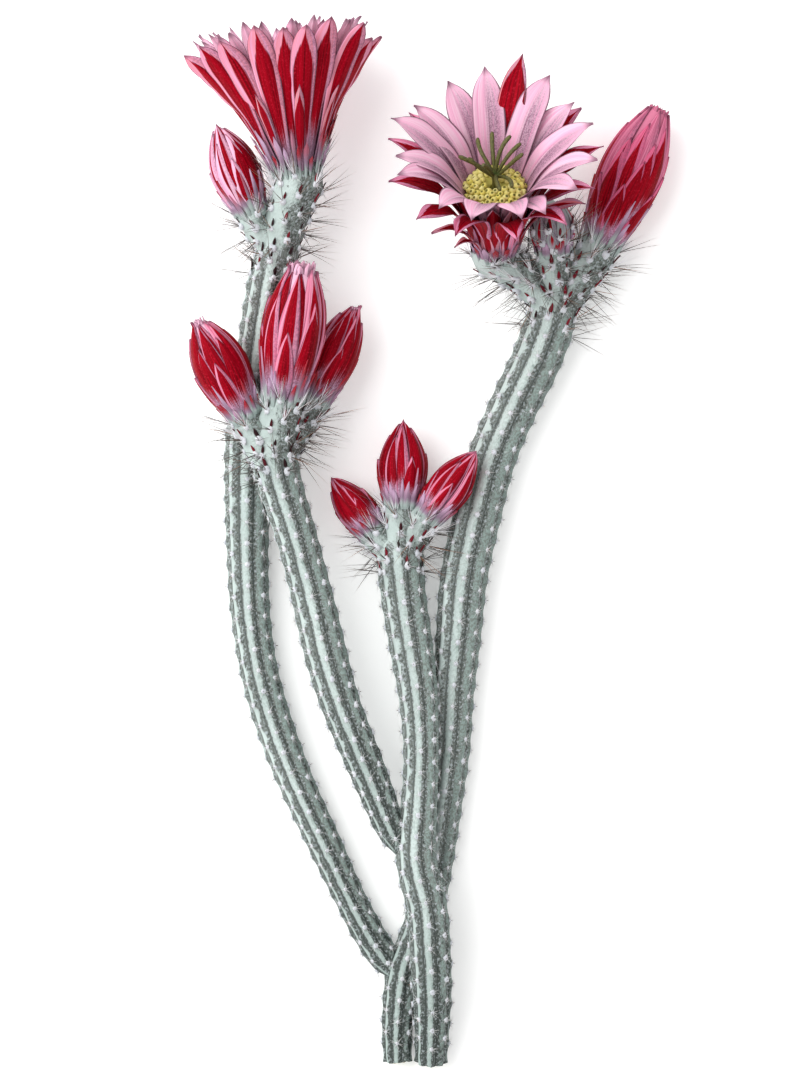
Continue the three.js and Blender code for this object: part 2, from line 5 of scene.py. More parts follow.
import bmesh
import bpy
import numpy as np
from numpy.random import default_rng
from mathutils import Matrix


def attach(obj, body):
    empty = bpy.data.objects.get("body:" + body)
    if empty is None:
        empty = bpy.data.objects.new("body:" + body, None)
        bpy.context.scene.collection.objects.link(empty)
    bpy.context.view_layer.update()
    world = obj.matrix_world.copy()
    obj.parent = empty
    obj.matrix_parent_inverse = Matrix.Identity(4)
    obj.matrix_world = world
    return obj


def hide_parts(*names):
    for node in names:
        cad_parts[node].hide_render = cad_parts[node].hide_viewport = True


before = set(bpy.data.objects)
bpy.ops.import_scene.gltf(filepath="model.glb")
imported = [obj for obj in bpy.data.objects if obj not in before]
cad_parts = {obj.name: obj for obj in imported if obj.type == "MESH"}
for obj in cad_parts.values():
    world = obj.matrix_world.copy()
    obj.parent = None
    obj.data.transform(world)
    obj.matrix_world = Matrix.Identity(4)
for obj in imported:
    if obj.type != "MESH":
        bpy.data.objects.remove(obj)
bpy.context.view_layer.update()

MM = 0.001
TURN = 2 * math.pi
QUARTER = TURN / 4
GOLDEN_ANGLE = math.pi * (3 - math.sqrt(5))
UP = np.array([0, 0, 1.0])
GAP = 0.3

# ---- Driving dimensions, as in the frame's own model

RIBS = 8
FURROW = 0.24
TUBE_LEAD = 5
TEPAL_SHOULDER = 0.66
TEPAL_ROOT_WIDTH = 0.42
TEPAL_TAPER = 2.9
TEPAL_POINT = 1.35  # the higher, the more drawn out its point
TEPAL_CUPPING = 0.16
TEPAL_LAYER = 0.9
TEPAL_STRETCH = (0.94, 1.04)
CUP_RING = 1.1
BUD_SWELL = 1.25

# Middle lines of each stem and of its branch: x, y, z and radius
STEMS = {"stem_front": ([
    (0.2, -156, 4.3, 4.7), (0.6, -144.5, 7.9, 5.2), (0.6, -134, 12.2, 5.7), (0, -121.5, 16, 5.9),
    (-0.9, -109.5, 17.3, 6), (-3.8, -97, 17.2, 6), (-4.2, -88.5, 16.2, 5.7), (-3.2, -75.5, 15, 5.2),
    (-2.8, -61, 13.8, 5.2), (-3.8, -44.5, 12.4, 5.8), (-6, -29.5, 10.8, 6.4), (-8, -16, 10, 6.7),
    (-9, -4, 10, 6.9), (-9, 0.5, 10.2, 5),
], [
    (-7, -94, 16.1, 3.4), (-11.4, -86, 15.8, 4.4), (-17.5, -71, 14.6, 5.2), (-22.5, -59, 14, 5.6),
    (-27, -47.5, 13.8, 5.9), (-31, -34, 13.8, 6.2), (-35, -17, 14.3, 6.1), (-39.5, 0.5, 15.8, 6),
    (-43.5, 13.5, 17.8, 6.2), (-46.5, 24.5, 20, 6.6), (-48, 29, 20.6, 4.6),
]), "stem_back": ([
    (-9.7, -156, 3.6, 4), (-9.8, -146.5, 4.1, 4.5), (-9, -136, 4.5, 5), (-7.5, -127, 4.6, 5.1),
    (-4.5, -119.5, 4.7, 5.1), (-1.5, -111, 4.7, 5.2), (0.5, -101.5, 4.8, 5.3), (2.5, -89.5, 4.9, 5.4),
    (4, -77.5, 5.1, 5.6), (6, -61, 5.3, 5.9), (7, -44.5, 5.6, 6.2), (8.5, -28, 6, 6.6),
    (10, -11.5, 6.4, 7), (13.5, 5.5, 6.5, 7.1), (18, 23.5, 6.5, 7.1), (24.6, 39.5, 6.7, 7.2),
    (31.6, 54, 7.2, 7.3), (36, 66, 8.2, 7.3), (38, 72, 8.6, 6),
], [
    (-8, -130.5, 4.9, 3.4), (-12.5, -126, 4.7, 4.5), (-18.5, -117, 4.6, 4.7), (-25, -104.5, 4.5, 4.5),
    (-32, -89.5, 4.6, 5), (-39, -74.5, 4.8, 5.2), (-45, -59.5, 4.9, 5.4), (-50.5, -41.5, 5, 5.6),
    (-53.5, -23.5, 5.1, 5.7), (-54.5, -5.5, 5.5, 6.1), (-54.5, 12.5, 6.3, 6.8), (-54, 30, 7.2, 7),
    (-52, 48, 8.8, 6.9), (-49.5, 64.5, 11.8, 6.8), (-47.5, 77, 15.2, 6.6), (-45, 86.5, 18.4, 6.2),
])}

# Layers of tepals on a bud: how many, the span of its length, how much of the way round, and height
LONG_LAYERS = [
    (8, (0.04, 1.0), 1.3, -0.7), (7, (-0.02, 0.99), 0.95, -0.15), (5, (-0.02, 0.86), 0.62, 0.0),
    (4, (-0.02, 0.55), 0.44, 0.15),
]
SCALY_LAYERS = [
    (8, (0.04, 1.0), 1.3, -0.4), (6, (0.1, 0.9), 0.85, -0.25), (6, (0.04, 0.78), 0.85, -0.1),
    (6, (-0.02, 0.62), 0.8, 0.05), (6, (-0.02, 0.44), 0.7, 0.2),
]

# Root, bend and base of a shoot are x, y, z and radius, and its tip is a place. Upper is what the side
# that faces up adds to lean and flare, and the share it adds to length. Bracts: how many, lengths,
# widths, flare, height and look. Accents: azimuth, length, width, lean, flare, root and height.
TALL_TEPALS = dict(turn=0, drift=0.06, sway=0.3, point=0.95, twist=-0.65)
TALL_BLOOM = dict(
    name="tall_bloom", stem="stem_back", root=(-46, 83, 17.2, 6), bend=(-42.5, 95, 21, 6.2),
    base=(-39.5, 111, 24.6, 7.2), tip=(-44, 147, 30.5),
    outer=dict(TALL_TEPALS, count=18, length=42, width=8, lean=27, flare=45.5, root=5.9,
               upper=(-7.5, -15.5, 0.15), seed=100, shoulder=0.72),
    inner=dict(TALL_TEPALS, count=34, length=43.5, width=4.8, lean=23, flare=41.5, root=4.1,
               upper=(-8, -15.5, 0.02), seed=150, shoulder=0.76),
    stamens=(22, 8.2), style=dict(top=24, lobes=8, length=9), hairs=20,
    bracts=[(9, (14, 30), (3.0, 4.2), (-2, 8), -1, 1), (30, (6, 18), (1.2, 2.0), (-2, 4), -3.2, 2)],
    accents=[],
)
OPEN_BLOOM = dict(
    name="open_bloom", stem="stem_back", root=(37.5, 68.5, 8.4, 5.2), bend=(28.5, 78.5, 11.6, 5.6),
    base=(19.4, 88, 18.3, 6.8), tip=(18.7, 113.8, 46.6),
    outer=dict(count=13, length=46.5, width=7.6, lean=15, flare=79, root=6, upper=(0, 10, -0.02),
               turn=0.16, drift=0.1, seed=378, shoulder=0.7),
    inner=dict(count=16, length=50.7, width=9.8, lean=10.5, flare=75, root=4.3, upper=(0, 10, 0),
               turn=0.13, drift=0.1, seed=428, shoulder=0.72),
    stamens=(25, 9), style=dict(top=28.5, lobes=10, length=14),
    bracts=[(17, (19, 31), (4.2, 6.0), (-4, 12), -1, 1), (16, (5, 12), (1.8, 2.8), (0, 8), -3.2, 2)],
    accents=[(2.86, 57, 8.4, 10.5, 83, 4.75, 2), (5.25, 25, 3.4, 20, 96, 6, GAP),
             (5.6, 21, 3, 22, 90, 6, GAP), (1.25, 34, 4.6, 20, 88, 6, GAP)],
)
BLOOMS = [TALL_BLOOM, OPEN_BLOOM]
# Buds: name, root, base, tip, radius, how blunt, and what only some have
BACK_BUDS = [
    ("tall_side_bud", (-45, 86, 18, 4.6), (-53.4, 98.6, 19.8, 4.6), (-63.4, 123.3, 22), 7.1, 0,
     dict(blush=0.8)),
    ("right_bud", (39, 70, 8.8, 5), (50.8, 89.5, 9.9, 6), (68, 128, 10.6), 9.3, 0.12,
     dict(fray=0.4, layers=SCALY_LAYERS, blush=0.6)),
    ("right_young_bud", (38, 70, 9, 4.6), (36.4, 88.3, 17, 5.2), (35.6, 100, 23.4), 6.1, 0.12,
     dict(tufts=16, hairs=0)),
]
FRONT_BUDS = [
    ("left_bud_left", (-48, 23.5, 20, 5), (-55.2, 38, 21.8, 4.9), (-68.3, 64, 25), 7.9, 0.1, dict(fray=0.8)),
    ("left_bud_centre", (-47, 23.5, 20, 5.8), (-43.5, 43, 24, 6.1), (-38, 79, 30), 9.2, 0.16, dict(fray=0.9)),
    ("left_bud_right", (-46, 24, 19.6, 5), (-34.5, 42.5, 14.6, 4.8), (-22.5, 69, 12), 6.8, 0.08,
     dict(fray=0.35, blush=0.6)),
    ("centre_bud_left", (-10, -5.5, 9.8, 4.6), (-17.6, 3.8, 9.4, 4.4), (-29.4, 18.8, 8.6), 5.3, 0, {}),
    ("centre_bud_centre", (-9, -5.5, 10, 5.4), (-8.5, 11.5, 10.6, 5.1), (-8, 36, 11), 7, 0, {}),
    ("centre_bud_right", (-8, -5.5, 9.6, 4.6), (0, 8.5, 13.6, 4.5), (13.5, 26.5, 19), 5.9, 0, {}),
]
BUDS = [
    dict(rest, name=name, stem=stem, root=root, base=base, tip=tip, radius=radius, blunt=blunt)
    for stem, rows in (("stem_back", BACK_BUDS), ("stem_front", FRONT_BUDS))
    for name, root, base, tip, radius, blunt, rest in rows
]
SHOOTS = BLOOMS + BUDS
for shoot in SHOOTS:
    shoot["length"] = math.dist(shoot["base"][:3], shoot["tip"])

# ---- Sizes of what only the looks have

SKIN_STEP = 1.2
SKIN_SIDES = 72
AREOLE_STEP = 6.4
AREOLE_RISE = 0.45
AREOLE_SPAN = 1.5  # length of rib that rises to an areole
FLOOR_CLEAR = 0.05
RIB_FADE = 10  # length over which the ribs fade out at a rounded end
BRANCH_NECK = 0.6  # share of its width that a branch starts with
END_BULGE = 0.55  # how far a rounded end stands out, as a share of its radius
CUT_RINGS = [(0.97, 0), (0.9, 0.35), (0.62, 0.2), (0.5, -0.15), (0.2, 0.1)]  # share of radius, and depth
OLD_GROWTH = 80.0  # length from its foot over which a stem is darker
RIGHT_FLANK = (1.12, 0.5)  # painted shade towards the furrow, heavier on a rib's right flank: share, and power of the distance
LEFT_FLANK = (0.95, 3)
TUBE_STEP = 0.55
TUBE_SIDES = 56
TUBE_PITCH = 0.66  # length of tube to each scale
TUBE_SUNK = 0.45  # how much thinner a tube is than its line says, without its tubercles
TUBERCLE = (1.15, 1.9, 0.8)  # half width, half length and height
HAIRY_END = 8  # length of tube below its rim that has hairs
SHADE_SIDE = np.array([0.7, -0.7, 0])  # the side of each tepal, away from the lamp, that takes more painted shade
BLADE_STEPS = 120  # along the middle line of a tepal
SMALL_GRID = (12, 7)  # rows and columns of points on a small tepal
BUD_CORE = (-0.3, 0.6, 1)  # the place on a tepal whose colour the core of a bud has
STYLE_BORE = 1.9  # radius of the hole for the style in the stamens
ANTHERS = 84
LOWEST_AREOLE = 0.9  # lower ones would be under the plant

# ---- Numbers and shapes


def draw(seed):
    """A fixed number between 0 and 1 for a seed, as the frame's model draws it."""
    value = math.sin(seed * 127.1) * 43758.5453
    return value - math.floor(value)


def unit(vectors):
    return vectors / np.linalg.norm(vectors, axis=-1, keepdims=True)


def smooth(x, low, high):
    share = np.clip((np.asarray(x, float) - low) / (high - low), 0, 1)
    return share * share * (3 - 2 * share)


def bell(x):
    return np.exp(-(x**2))


def between(ends, share):
    return ends[0] + (ends[1] - ends[0]) * share


def triples(x, y, z):
    """Rows of three numbers, from arrays spread to one shape."""
    return np.stack(np.broadcast_arrays(x, y, z), -1)


def circle(sides, start=0.0):
    return start + np.arange(sides) / sides * TURN


def round_axis(angle, radius, height):
    """Places round the axis of a flower or bud."""
    return triples(np.cos(angle) * radius, np.sin(angle) * radius, height)


def around(one, two, angle):
    """Directions at an angle from axis one towards axis two."""
    return one * np.cos(angle)[..., None] + two * np.sin(angle)[..., None]


def laid(points):
    """The points, raised where they are below the surface."""
    points[..., 2] = np.maximum(points[..., 2], FLOOR_CLEAR)
    return points


def cross_section(forward):
    """The upward and the sideways axis of sections that face forward."""
    up = unit(UP - forward[..., 2:] * forward)
    return up, np.cross(forward, up)


def put_in_scene(name, data, place=(0, 0, 0)):
    made = bpy.data.objects.new(name, data)
    made.location = place
    bpy.context.scene.collection.objects.link(made)
    return made


class Shell:
    """The points and faces of one mesh. Each point has a where, three numbers, and a tone."""

    def __init__(self):
        self.points, self.where, self.tone, self.faces, self.slots = [], [], [], [], []
        self.count = 0

    def add(self, points, faces, where, tone=0.5, slot=0):
        points = np.asarray(points, float).reshape(-1, 3)
        self.add_faces(faces, self.count, slot)
        self.points.append(points)
        self.where.append(np.broadcast_to(np.asarray(where, float).reshape(-1, 3), points.shape))
        self.tone.append(np.broadcast_to(np.asarray(tone, float).ravel(), (len(points),)))
        self.count += len(points)

    def add_faces(self, faces, first, slot=0):
        """Faces whose corners are counted from the point first."""
        self.faces.append(np.asarray(faces) + first)
        self.slots.append(np.full(len(faces), slot))

    def make(self, name, looks):
        mesh = bpy.data.meshes.new(name)
        faces = [face for group in self.faces for face in group.tolist()]
        mesh.from_pydata(np.concatenate(self.points) * MM, [], faces)
        marks = (("where", "FLOAT_VECTOR", "vector", self.where), ("tone", "FLOAT", "value", self.tone))
        for mark, kind, field, values in marks:
            data = mesh.attributes.new(mark, kind, "POINT").data
            data.foreach_set(field, np.concatenate(values).ravel())
        for look in looks:
            mesh.materials.append(look)
        mesh.polygons.foreach_set("material_index", np.concatenate(self.slots).astype(np.int32))
        mesh.polygons.foreach_set("use_smooth", np.ones(len(faces), bool))
        mesh.update()
        return put_in_scene(name, mesh)


def grid_faces(rows, columns):
    """Quads between rows of points that each close to a ring."""
    i, k = np.meshgrid(np.arange(rows - 1), np.arange(columns), indexing="ij")
    a = i * columns + k
    b = i * columns + (k + 1) % columns
    return np.stack([a, a + columns, b + columns, b], -1).reshape(-1, 4)


def fan_faces(sides, turned=False):
    """Triangles between a ring of points and the point after them."""
    ring = np.arange(sides)
    following = np.roll(ring, -1)
    hub = np.full(sides, sides)
    return np.stack([hub, following, ring] if turned else [hub, ring, following], -1)


def add_loft(shell, spot, rings, where, tone, slot=0, turned=False, ends=None):
    """A closed form through rings in a flower's own axes. Ends has the wheres of its end points."""
    base, axes = spot
    rings = laid(base + rings.reshape(-1, 3) @ axes).reshape(rings.shape)
    rows, sides, _ = rings.shape
    shell.add(rings, grid_faces(rows, sides)[:, ::-1 if turned else 1], where, tone, slot)
    where = np.broadcast_to(where, rings.shape)
    for row in (0, -1):
        mark = ends[row] if ends else where[row, sides // 2]
        fan = fan_faces(sides, turned == (row == 0))
        shell.add([*rings[row], rings[row].mean(0)], fan, mark, tone, slot)


class Line:
    """Sections of a stem or a tube: places, axes, radii and distances from its start."""

    def __init__(self, route, step):
        route = np.array(route, float)
        last = len(route) - 1
        u = np.linspace(0, last, 40 * last + 1)
        i = np.minimum(u.astype(int), last - 1)
        t = (u - i)[:, None]
        a, b, c, d = (route[np.clip(i + k, 0, last)] for k in (-1, 0, 1, 2))
        trail = 0.5 * (2 * b + (c - a) * t + (2 * a - 5 * b + 4 * c - d) * t**2
                       + (3 * b - a - 3 * c + d) * t**3)
        reach = np.concatenate([[0], np.cumsum(np.linalg.norm(np.diff(trail[:, :3], axis=0), axis=1))])
        self.total = reach[-1]
        self.reach = np.linspace(0, self.total, max(3, round(self.total / step) + 1))
        trail = np.stack([np.interp(self.reach, reach, trail[:, k]) for k in range(4)], 1)
        self.point = trail[:, :3]
        self.radius = trail[:, 3]
        self.forward = unit(np.gradient(self.point, axis=0))
        self.up, self.side = cross_section(self.forward)

    def areoles(self, reach, angle, raised):
        """Places, outward and forward directions, at distances along it and angles round it."""
        def pick(rows):
            return np.stack([np.interp(reach, self.reach, rows[:, k]) for k in range(3)], -1)

        forward = unit(pick(self.forward))
        up, side = cross_section(forward)
        outward = around(side, up, angle)
        radius = np.interp(reach, self.reach, self.radius) + raised
        return np.stack([pick(self.point) + outward * radius[:, None], outward, forward], 1)

    def rings(self, angles, radii):
        return self.point[:, None] + around(self.side[:, None], self.up[:, None], angles) * radii[..., None]

    def marks(self, angles, start, dark):
        """Length round and along the skin, and how dark its painted shade is."""
        return triples((angles + QUARTER) * self.radius[:, None], start + self.reach[:, None], dark)


def shoot_axes(shoot):
    base = np.array(shoot["base"][:3], float)
    forward = unit(np.array(shoot["tip"], float) - base)
    return base, np.stack([*cross_section(forward), forward])


# ---- Stems


def rib_radii(radius, angles, along, depth):
    """Radii round a ribbed stem, and how dark its painted shade is: darker towards the furrows, more on the
    right flank of each rib and beside each areole.
    """
    turns = angles * RIBS / TURN
    part = turns - np.round(turns)
    aside = np.abs(part) * 2
    beat = along[:, None] / AREOLE_STEP + (np.round(turns) % 2) / 2
    near = np.abs(beat - np.round(beat)) * AREOLE_STEP
    bump = AREOLE_RISE * bell(near / AREOLE_SPAN) * (1 - aside) ** 2
    depth = depth[:, None]
    shape = 1 - FURROW * depth * aside**2.1
    right, left = (share * aside**power for share, power in (RIGHT_FLANK, LEFT_FLANK))
    dark = np.where(part < 0, right, left) * (0.45 + 0.55 * depth) + 0.3 * (1 - depth)
    # Painted shadow beside each areole, heavier on a rib's right flank.
    beside = bell(near / 1.8) * bell((aside - 0.25) / 0.25)
    return radius[:, None] * shape + bump * depth, dark + beside * np.where(part < 0, 0.42, 0.25)


def side_shade(angles, rows):
    """Painted shade round a stem or a tube, as if lit from the left: 0 at its left and 1 at its right."""
    return np.tile(smooth(np.cos(angles), -0.6, 0.8), rows)


def add_stem(shell, route, cut, seed):
    rng = default_rng(seed)
    line = Line(route, SKIN_STEP)
    depth = smooth(line.total - line.reach, 0, RIB_FADE)
    if not cut:
        line.radius = line.radius * between((BRANCH_NECK, 1), smooth(line.reach, 0, RIB_FADE))
        depth = depth * smooth(line.reach, 2, RIB_FADE)
    angles = circle(SKIN_SIDES, -QUARTER)
    radii, dark = rib_radii(line.radius, angles, line.reach, depth)
    points = line.rings(angles, radii * (1 + 0.012 * np.sin(line.reach / 7 + seed))[:, None])
    if cut:
        ragged = sum(rng.uniform(0.05, 0.15) * np.sin(angles * k + rng.uniform(0, TURN)) for k in (2, 3, 7))
        points[0] += line.forward[0] * (0.4 + ragged[:, None])
    points = laid(points)
    where = line.marks(angles, 0, dark)
    shell.add(points, grid_faces(*radii.shape), where, side_shade(angles, len(points)))
    if cut:
        add_cut_end(shell, line, points[0], angles)
    add_round_end(shell, line, points[-1], where[-1], angles)
    return line


def add_cut_end(shell, line, edge, angles):
    """The flesh of a cut stem, from the edge of its skin to its middle."""
    middle = line.point[0]
    rings = [middle + (edge - middle) * share + line.forward[0] * depth for share, depth in CUT_RINGS]
    rings = laid(np.array([edge, *rings]))
    reach = np.array([1] + [share for share, _ in CUT_RINGS])[:, None]
    where = triples(angles, reach, reach)
    shell.add(rings, grid_faces(len(rings), SKIN_SIDES)[:, ::-1], where, slot=1)
    shell.add([*rings[-1], middle], fan_faces(SKIN_SIDES), (0, 0, 0), slot=1)


def add_round_end(shell, line, edge, where, angles):
    middle = line.point[-1]
    ahead = line.forward[-1] * line.radius[-1] * END_BULGE
    rings = [middle + (edge - middle) * math.cos(a) + ahead * math.sin(a) for a in (0, 0.4, 0.8, 1.15, 1.4)]
    where = np.tile(where, (len(rings), 1))
    shell.add(rings, grid_faces(len(rings), SKIN_SIDES), where, side_shade(angles, len(rings)))
    shell.add([*rings[-1], middle + ahead], fan_faces(SKIN_SIDES, True), (0, 0, 0.5))


def stem_areoles(line, cut):
    """The areoles on the ribs of a stem."""
    rows = []
    for rib in range(RIBS):
        reach = (np.arange(1, int(line.total / AREOLE_STEP)) + (rib % 2) / 2) * AREOLE_STEP
        reach = reach[(reach > (4 if cut else 2)) & (reach < line.total - 1)]
        rows.append(line.areoles(reach, np.full(len(reach), rib / RIBS * TURN), AREOLE_RISE * 0.8))
    return np.concatenate(rows)


# ---- Floral tubes


def tube_scales(line, seed):
    """Distance along the tube and angle round it of each scale."""
    number = np.arange(int((line.total - 1.5) / TUBE_PITCH))
    return 1 + (number + 0.5) * TUBE_PITCH, (number * GOLDEN_ANGLE + seed) % TURN


def add_tube(shell, shoot, seed):
    base, axes = shoot_axes(shoot)
    bend = [shoot["bend"]] if "bend" in shoot else []
    lead = (*(base - axes[2] * TUBE_LEAD), shoot["base"][3])
    line = Line([shoot["root"], *bend, lead, shoot["base"]], TUBE_STEP)
    angles = circle(TUBE_SIDES, -QUARTER)
    swell = np.zeros((len(line.reach), TUBE_SIDES))
    for place, angle in zip(*tube_scales(line, seed)):
        aside = (angles - angle + math.pi) % TURN - math.pi
        beside = bell(aside * line.radius[:, None] / TUBERCLE[0])
        swell = np.maximum(swell, beside * bell((line.reach[:, None] - place) / TUBERCLE[1]))
    points = laid(line.rings(angles, line.radius[:, None] - TUBE_SUNK + TUBERCLE[2] * swell))
    side = side_shade(angles, len(points))
    # Painted shade: darker between the tubercles and towards the right side.
    dark = 0.34 * (1 - swell) + 0.27 * side.reshape(swell.shape)
    shell.add(points, grid_faces(*swell.shape), line.marks(angles, OLD_GROWTH, dark), side)
    for end in (-1, 0):
        shell.add([*points[end], line.point[end]], fan_faces(TUBE_SIDES, end == -1), (0, 0, 0.4))
    return line


def near_end(line, areoles, reach):
    """The areoles within reach of the end of a stem or tube."""
    return areoles[(line.point[-1] - areoles[:, 0]) @ line.forward[-1] < reach]


def crown_areoles(line, seed):
    """Areoles close together where the ribs of a stem fade out."""
    return near_end(line, line.areoles(*tube_scales(line, seed), 0), RIB_FADE)


def bud_areoles(shoot):
    """Areoles on the lower part of a young bud."""
    base, axes = shoot_axes(shoot)
    number = np.arange(shoot["tufts"])
    share = 0.62 * (number + 0.5) / shoot["tufts"]
    angle = number * GOLDEN_ANGLE
    place = round_axis(angle, bud_radius(shoot, share) + 0.3, share * shoot["length"])
    forward = np.broadcast_to(axes[2], place.shape)
    return np.stack([base + place @ axes, round_axis(angle, 1, 0) @ axes, forward], 1)


# ---- Small things that repeat


def round_ball():
    """Points and faces of a round ball of radius 1."""
    form = bmesh.new()
    bmesh.ops.create_icosphere(form, subdivisions=2, radius=1)
    points = np.array([v.co for v in form.verts])
    faces = np.array([[v.index for v in f.verts] for f in form.faces])
    form.free()
    return points, faces


BALL = round_ball()


def cross_axes(outward, forward):
    """Three axes for each place: sideways, forward along the surface, and outward."""
    flat = unit(forward - (forward * outward).sum(-1, keepdims=True) * outward)
    return np.stack([np.cross(flat, outward), flat, outward], 1)


def add_copies(shell, points, faces, origins, axes, sizes, tones, where):
    """Copies of one form, each turned to its own axes and scaled along them."""
    placed = (points * sizes[:, None]) @ axes + origins[:, None]
    shifts = np.arange(len(origins)) * len(points)
    every = (faces + shifts[:, None, None]).reshape(-1, faces.shape[1])
    shell.add(placed, every, np.tile(where, (len(origins), 1)), np.repeat(tones, len(points)))


def add_wool(shell, areoles, size, seed):
    """A low woolly tuft on each areole."""
    rng = default_rng(seed)
    points, faces = BALL
    origins = areoles[:, 0] - areoles[:, 1] * size * 0.1
    axes = cross_axes(areoles[:, 1], areoles[:, 2])
    sizes = size * (0.75 + 0.5 * rng.random((len(areoles), 1))) * np.array([[1, 1.15, 0.62]])
    lumpy = points * (1 + 0.16 * rng.standard_normal((len(points), 1)))
    add_copies(shell, lumpy, faces, origins, axes, sizes, rng.random(len(areoles)), lumpy)


def add_tube_scales(shell, areoles, seed):
    """A slit-like dark scale in front of each areole of a tube."""
    rng = default_rng(seed)
    along = np.linspace(0, 1, 7)
    half = 0.5 * np.sin(math.pi * np.minimum(1, 0.12 + 0.88 * along)) ** 0.8
    high = 0.12 + 0.5 * along**2
    across = np.array([-1, 0, 1, 0])
    heights = np.stack([high * 0.6, high + 0.12, high * 0.6, high - 0.3], 1)
    points = triples(across * half[:, None], along[:, None] * 3.0, heights).reshape(-1, 3)
    last = len(points)
    ends = [[3, 2, 1, 0], [last - 4, last - 3, last - 2, last - 1]]
    faces = np.concatenate([grid_faces(len(along), len(across)), ends])
    where = triples(across, along[:, None], 1).reshape(-1, 3)
    axes = cross_axes(areoles[:, 1], areoles[:, 2])
    origins = areoles[:, 0] + axes[:, 1] * 0.5 - axes[:, 2] * 0.25
    sizes = rng.uniform(0.75, 1.3, (len(areoles), 1))
    add_copies(shell, points, faces, origins, axes, sizes, rng.random(len(areoles)), where)


def add_spines(shell, rng, areoles, directions, lengths, widths, bend, seed, steps=4, sunk=0.0, low=0.4):
    """Thin spines that taper to a point, curve a little and stay above the height low."""
    origins, outward, _ = areoles
    directions = unit(directions)
    tips = origins[:, 2] + directions[:, 2] * lengths
    directions[:, 2] = np.where(tips < low, (low - origins[:, 2]) / lengths, directions[:, 2])
    directions = unit(directions)
    tones = rng.random(len(origins))
    aside = unit(np.cross(directions, default_rng(seed).standard_normal(directions.shape)))
    other = np.cross(directions, aside)
    shares = np.linspace(0, 1, steps)
    rings = []
    for share in shares:
        reach = lengths[:, None] * share
        middle = origins - outward * sunk + directions * reach + aside * reach * bend * share
        radius = widths * (1 - 0.94 * share**2)
        rings += [middle + around(aside, other, angle) * radius for angle in circle(3)]
    first, corners = shell.count, 3 * steps
    shifts = (np.arange(len(origins)) * corners)[:, None, None]
    ends = np.array([[0, 1, 2], [corners - 1, corners - 2, corners - 3]])
    along = np.tile(np.repeat(shares, 3), len(origins))
    shell.add(laid(np.stack(rings, 1)), (grid_faces(steps, 3)[:, ::-1] + shifts).reshape(-1, 4),
              triples(0, along, along), np.repeat(tones, corners))
    shell.add_faces((ends + shifts).reshape(-1, 3), first)


def repeated(areoles, count):
    """Places, outward and forward directions of areoles, each several times."""
    return np.repeat(areoles, count, 0).transpose(1, 0, 2)


def add_stars(shell, areoles, count, length, width, seed, tilt=0.35):
    """Short pale spines that radiate from each areole."""
    rng = default_rng(seed)
    every = repeated(areoles, count)
    origins, outward, forward = every
    total = len(origins)
    axes = cross_axes(outward, forward)
    spread = np.tile(circle(count), len(areoles)) + rng.uniform(-0.3, 0.3, total)
    rise = rng.uniform(0.3, 1.2, total)[:, None] * tilt
    way = around(axes[:, 0], axes[:, 1], spread) + outward * rise
    lengths = rng.uniform(*length, total)
    add_spines(shell, rng, every, way, lengths, width, bend=0.08, seed=seed, steps=3, low=0.1)


def add_bristles(shell, areoles, count, length, seed, lean):
    """Dark spines on each areole. Lean is how far the first and the last lean forward."""
    rng = default_rng(seed)
    every = repeated(areoles, count)
    origins, outward, forward = every
    total = len(origins)
    share = np.repeat(np.linspace(0, 1, len(areoles)), count)[:, None]
    way = outward + forward * (between(lean, share) + rng.uniform(-0.25, 0.25, share.shape))
    way = way + 0.16 * rng.standard_normal(way.shape)
    lengths = between(length, rng.random(total) ** 0.8)
    widths = rng.uniform(0.08, 0.125, total)[:, None]
    add_spines(shell, rng, every, way, lengths, widths, bend=0.07, seed=seed, sunk=0.3)


def add_hairs(shell, areoles, count, length, seed):
    """Long pale hairs that lean forward over the roots of the tepals."""
    rng = default_rng(seed)
    every = repeated(areoles, count)
    origins, outward, forward = every
    total = len(origins)
    way = forward + outward * rng.uniform(0.3, 0.8, (total, 1)) + 0.2 * rng.standard_normal(origins.shape)
    add_spines(shell, rng, every, way, rng.uniform(*length, total), widths=0.09, bend=0.05, seed=seed)


def open_areoles(areoles, own, solids):
    """The areoles that aren't inside another stem or tube, or under the plant."""
    places = areoles[:, 0]
    free = places[:, 2] > LOWEST_AREOLE
    for line in solids:
        if line is not own:
            gap = np.linalg.norm(places[:, None] - line.point, axis=2) - line.radius * 0.93
            free &= (gap > 0).all(1)
    return areoles[free]


# ---- Tepals


def folded(upper, lower):
    """Rings from the rows of the upper and the lower face of a tepal."""
    return np.concatenate([upper, lower[:, -2:0:-1]], 1)


def tepal_width(plan, s):
    shoulder = plan.get("shoulder", TEPAL_SHOULDER)
    swell = between((TEPAL_ROOT_WIDTH, 1), np.sin(QUARTER * np.minimum(s / shoulder, 1)) ** 2)
    taper = np.clip((s - shoulder) / (1 - shoulder), 0, 1)
    tip = (1 - taper**TEPAL_TAPER) ** plan.get("point", TEPAL_POINT)
    return plan["width"] * np.where(s < shoulder, swell, tip)


def blade_line(plan, s):
    """Distance from the flower's axis, height and slope at shares s of a tepal's length."""
    fine = np.linspace(0, 1, BLADE_STEPS + 1)
    step = plan["length"] / BLADE_STEPS
    slope = np.radians(between((plan["lean"], plan["flare"]), fine**2))
    middle = (slope[1:] + slope[:-1]) / 2
    radius = plan["root"] + np.concatenate([[0], np.cumsum(np.sin(middle))]) * step
    height = plan["rise"] + np.concatenate([[0], np.cumsum(np.cos(middle))]) * step
    return (np.interp(s, fine, v) for v in (radius, height, slope))


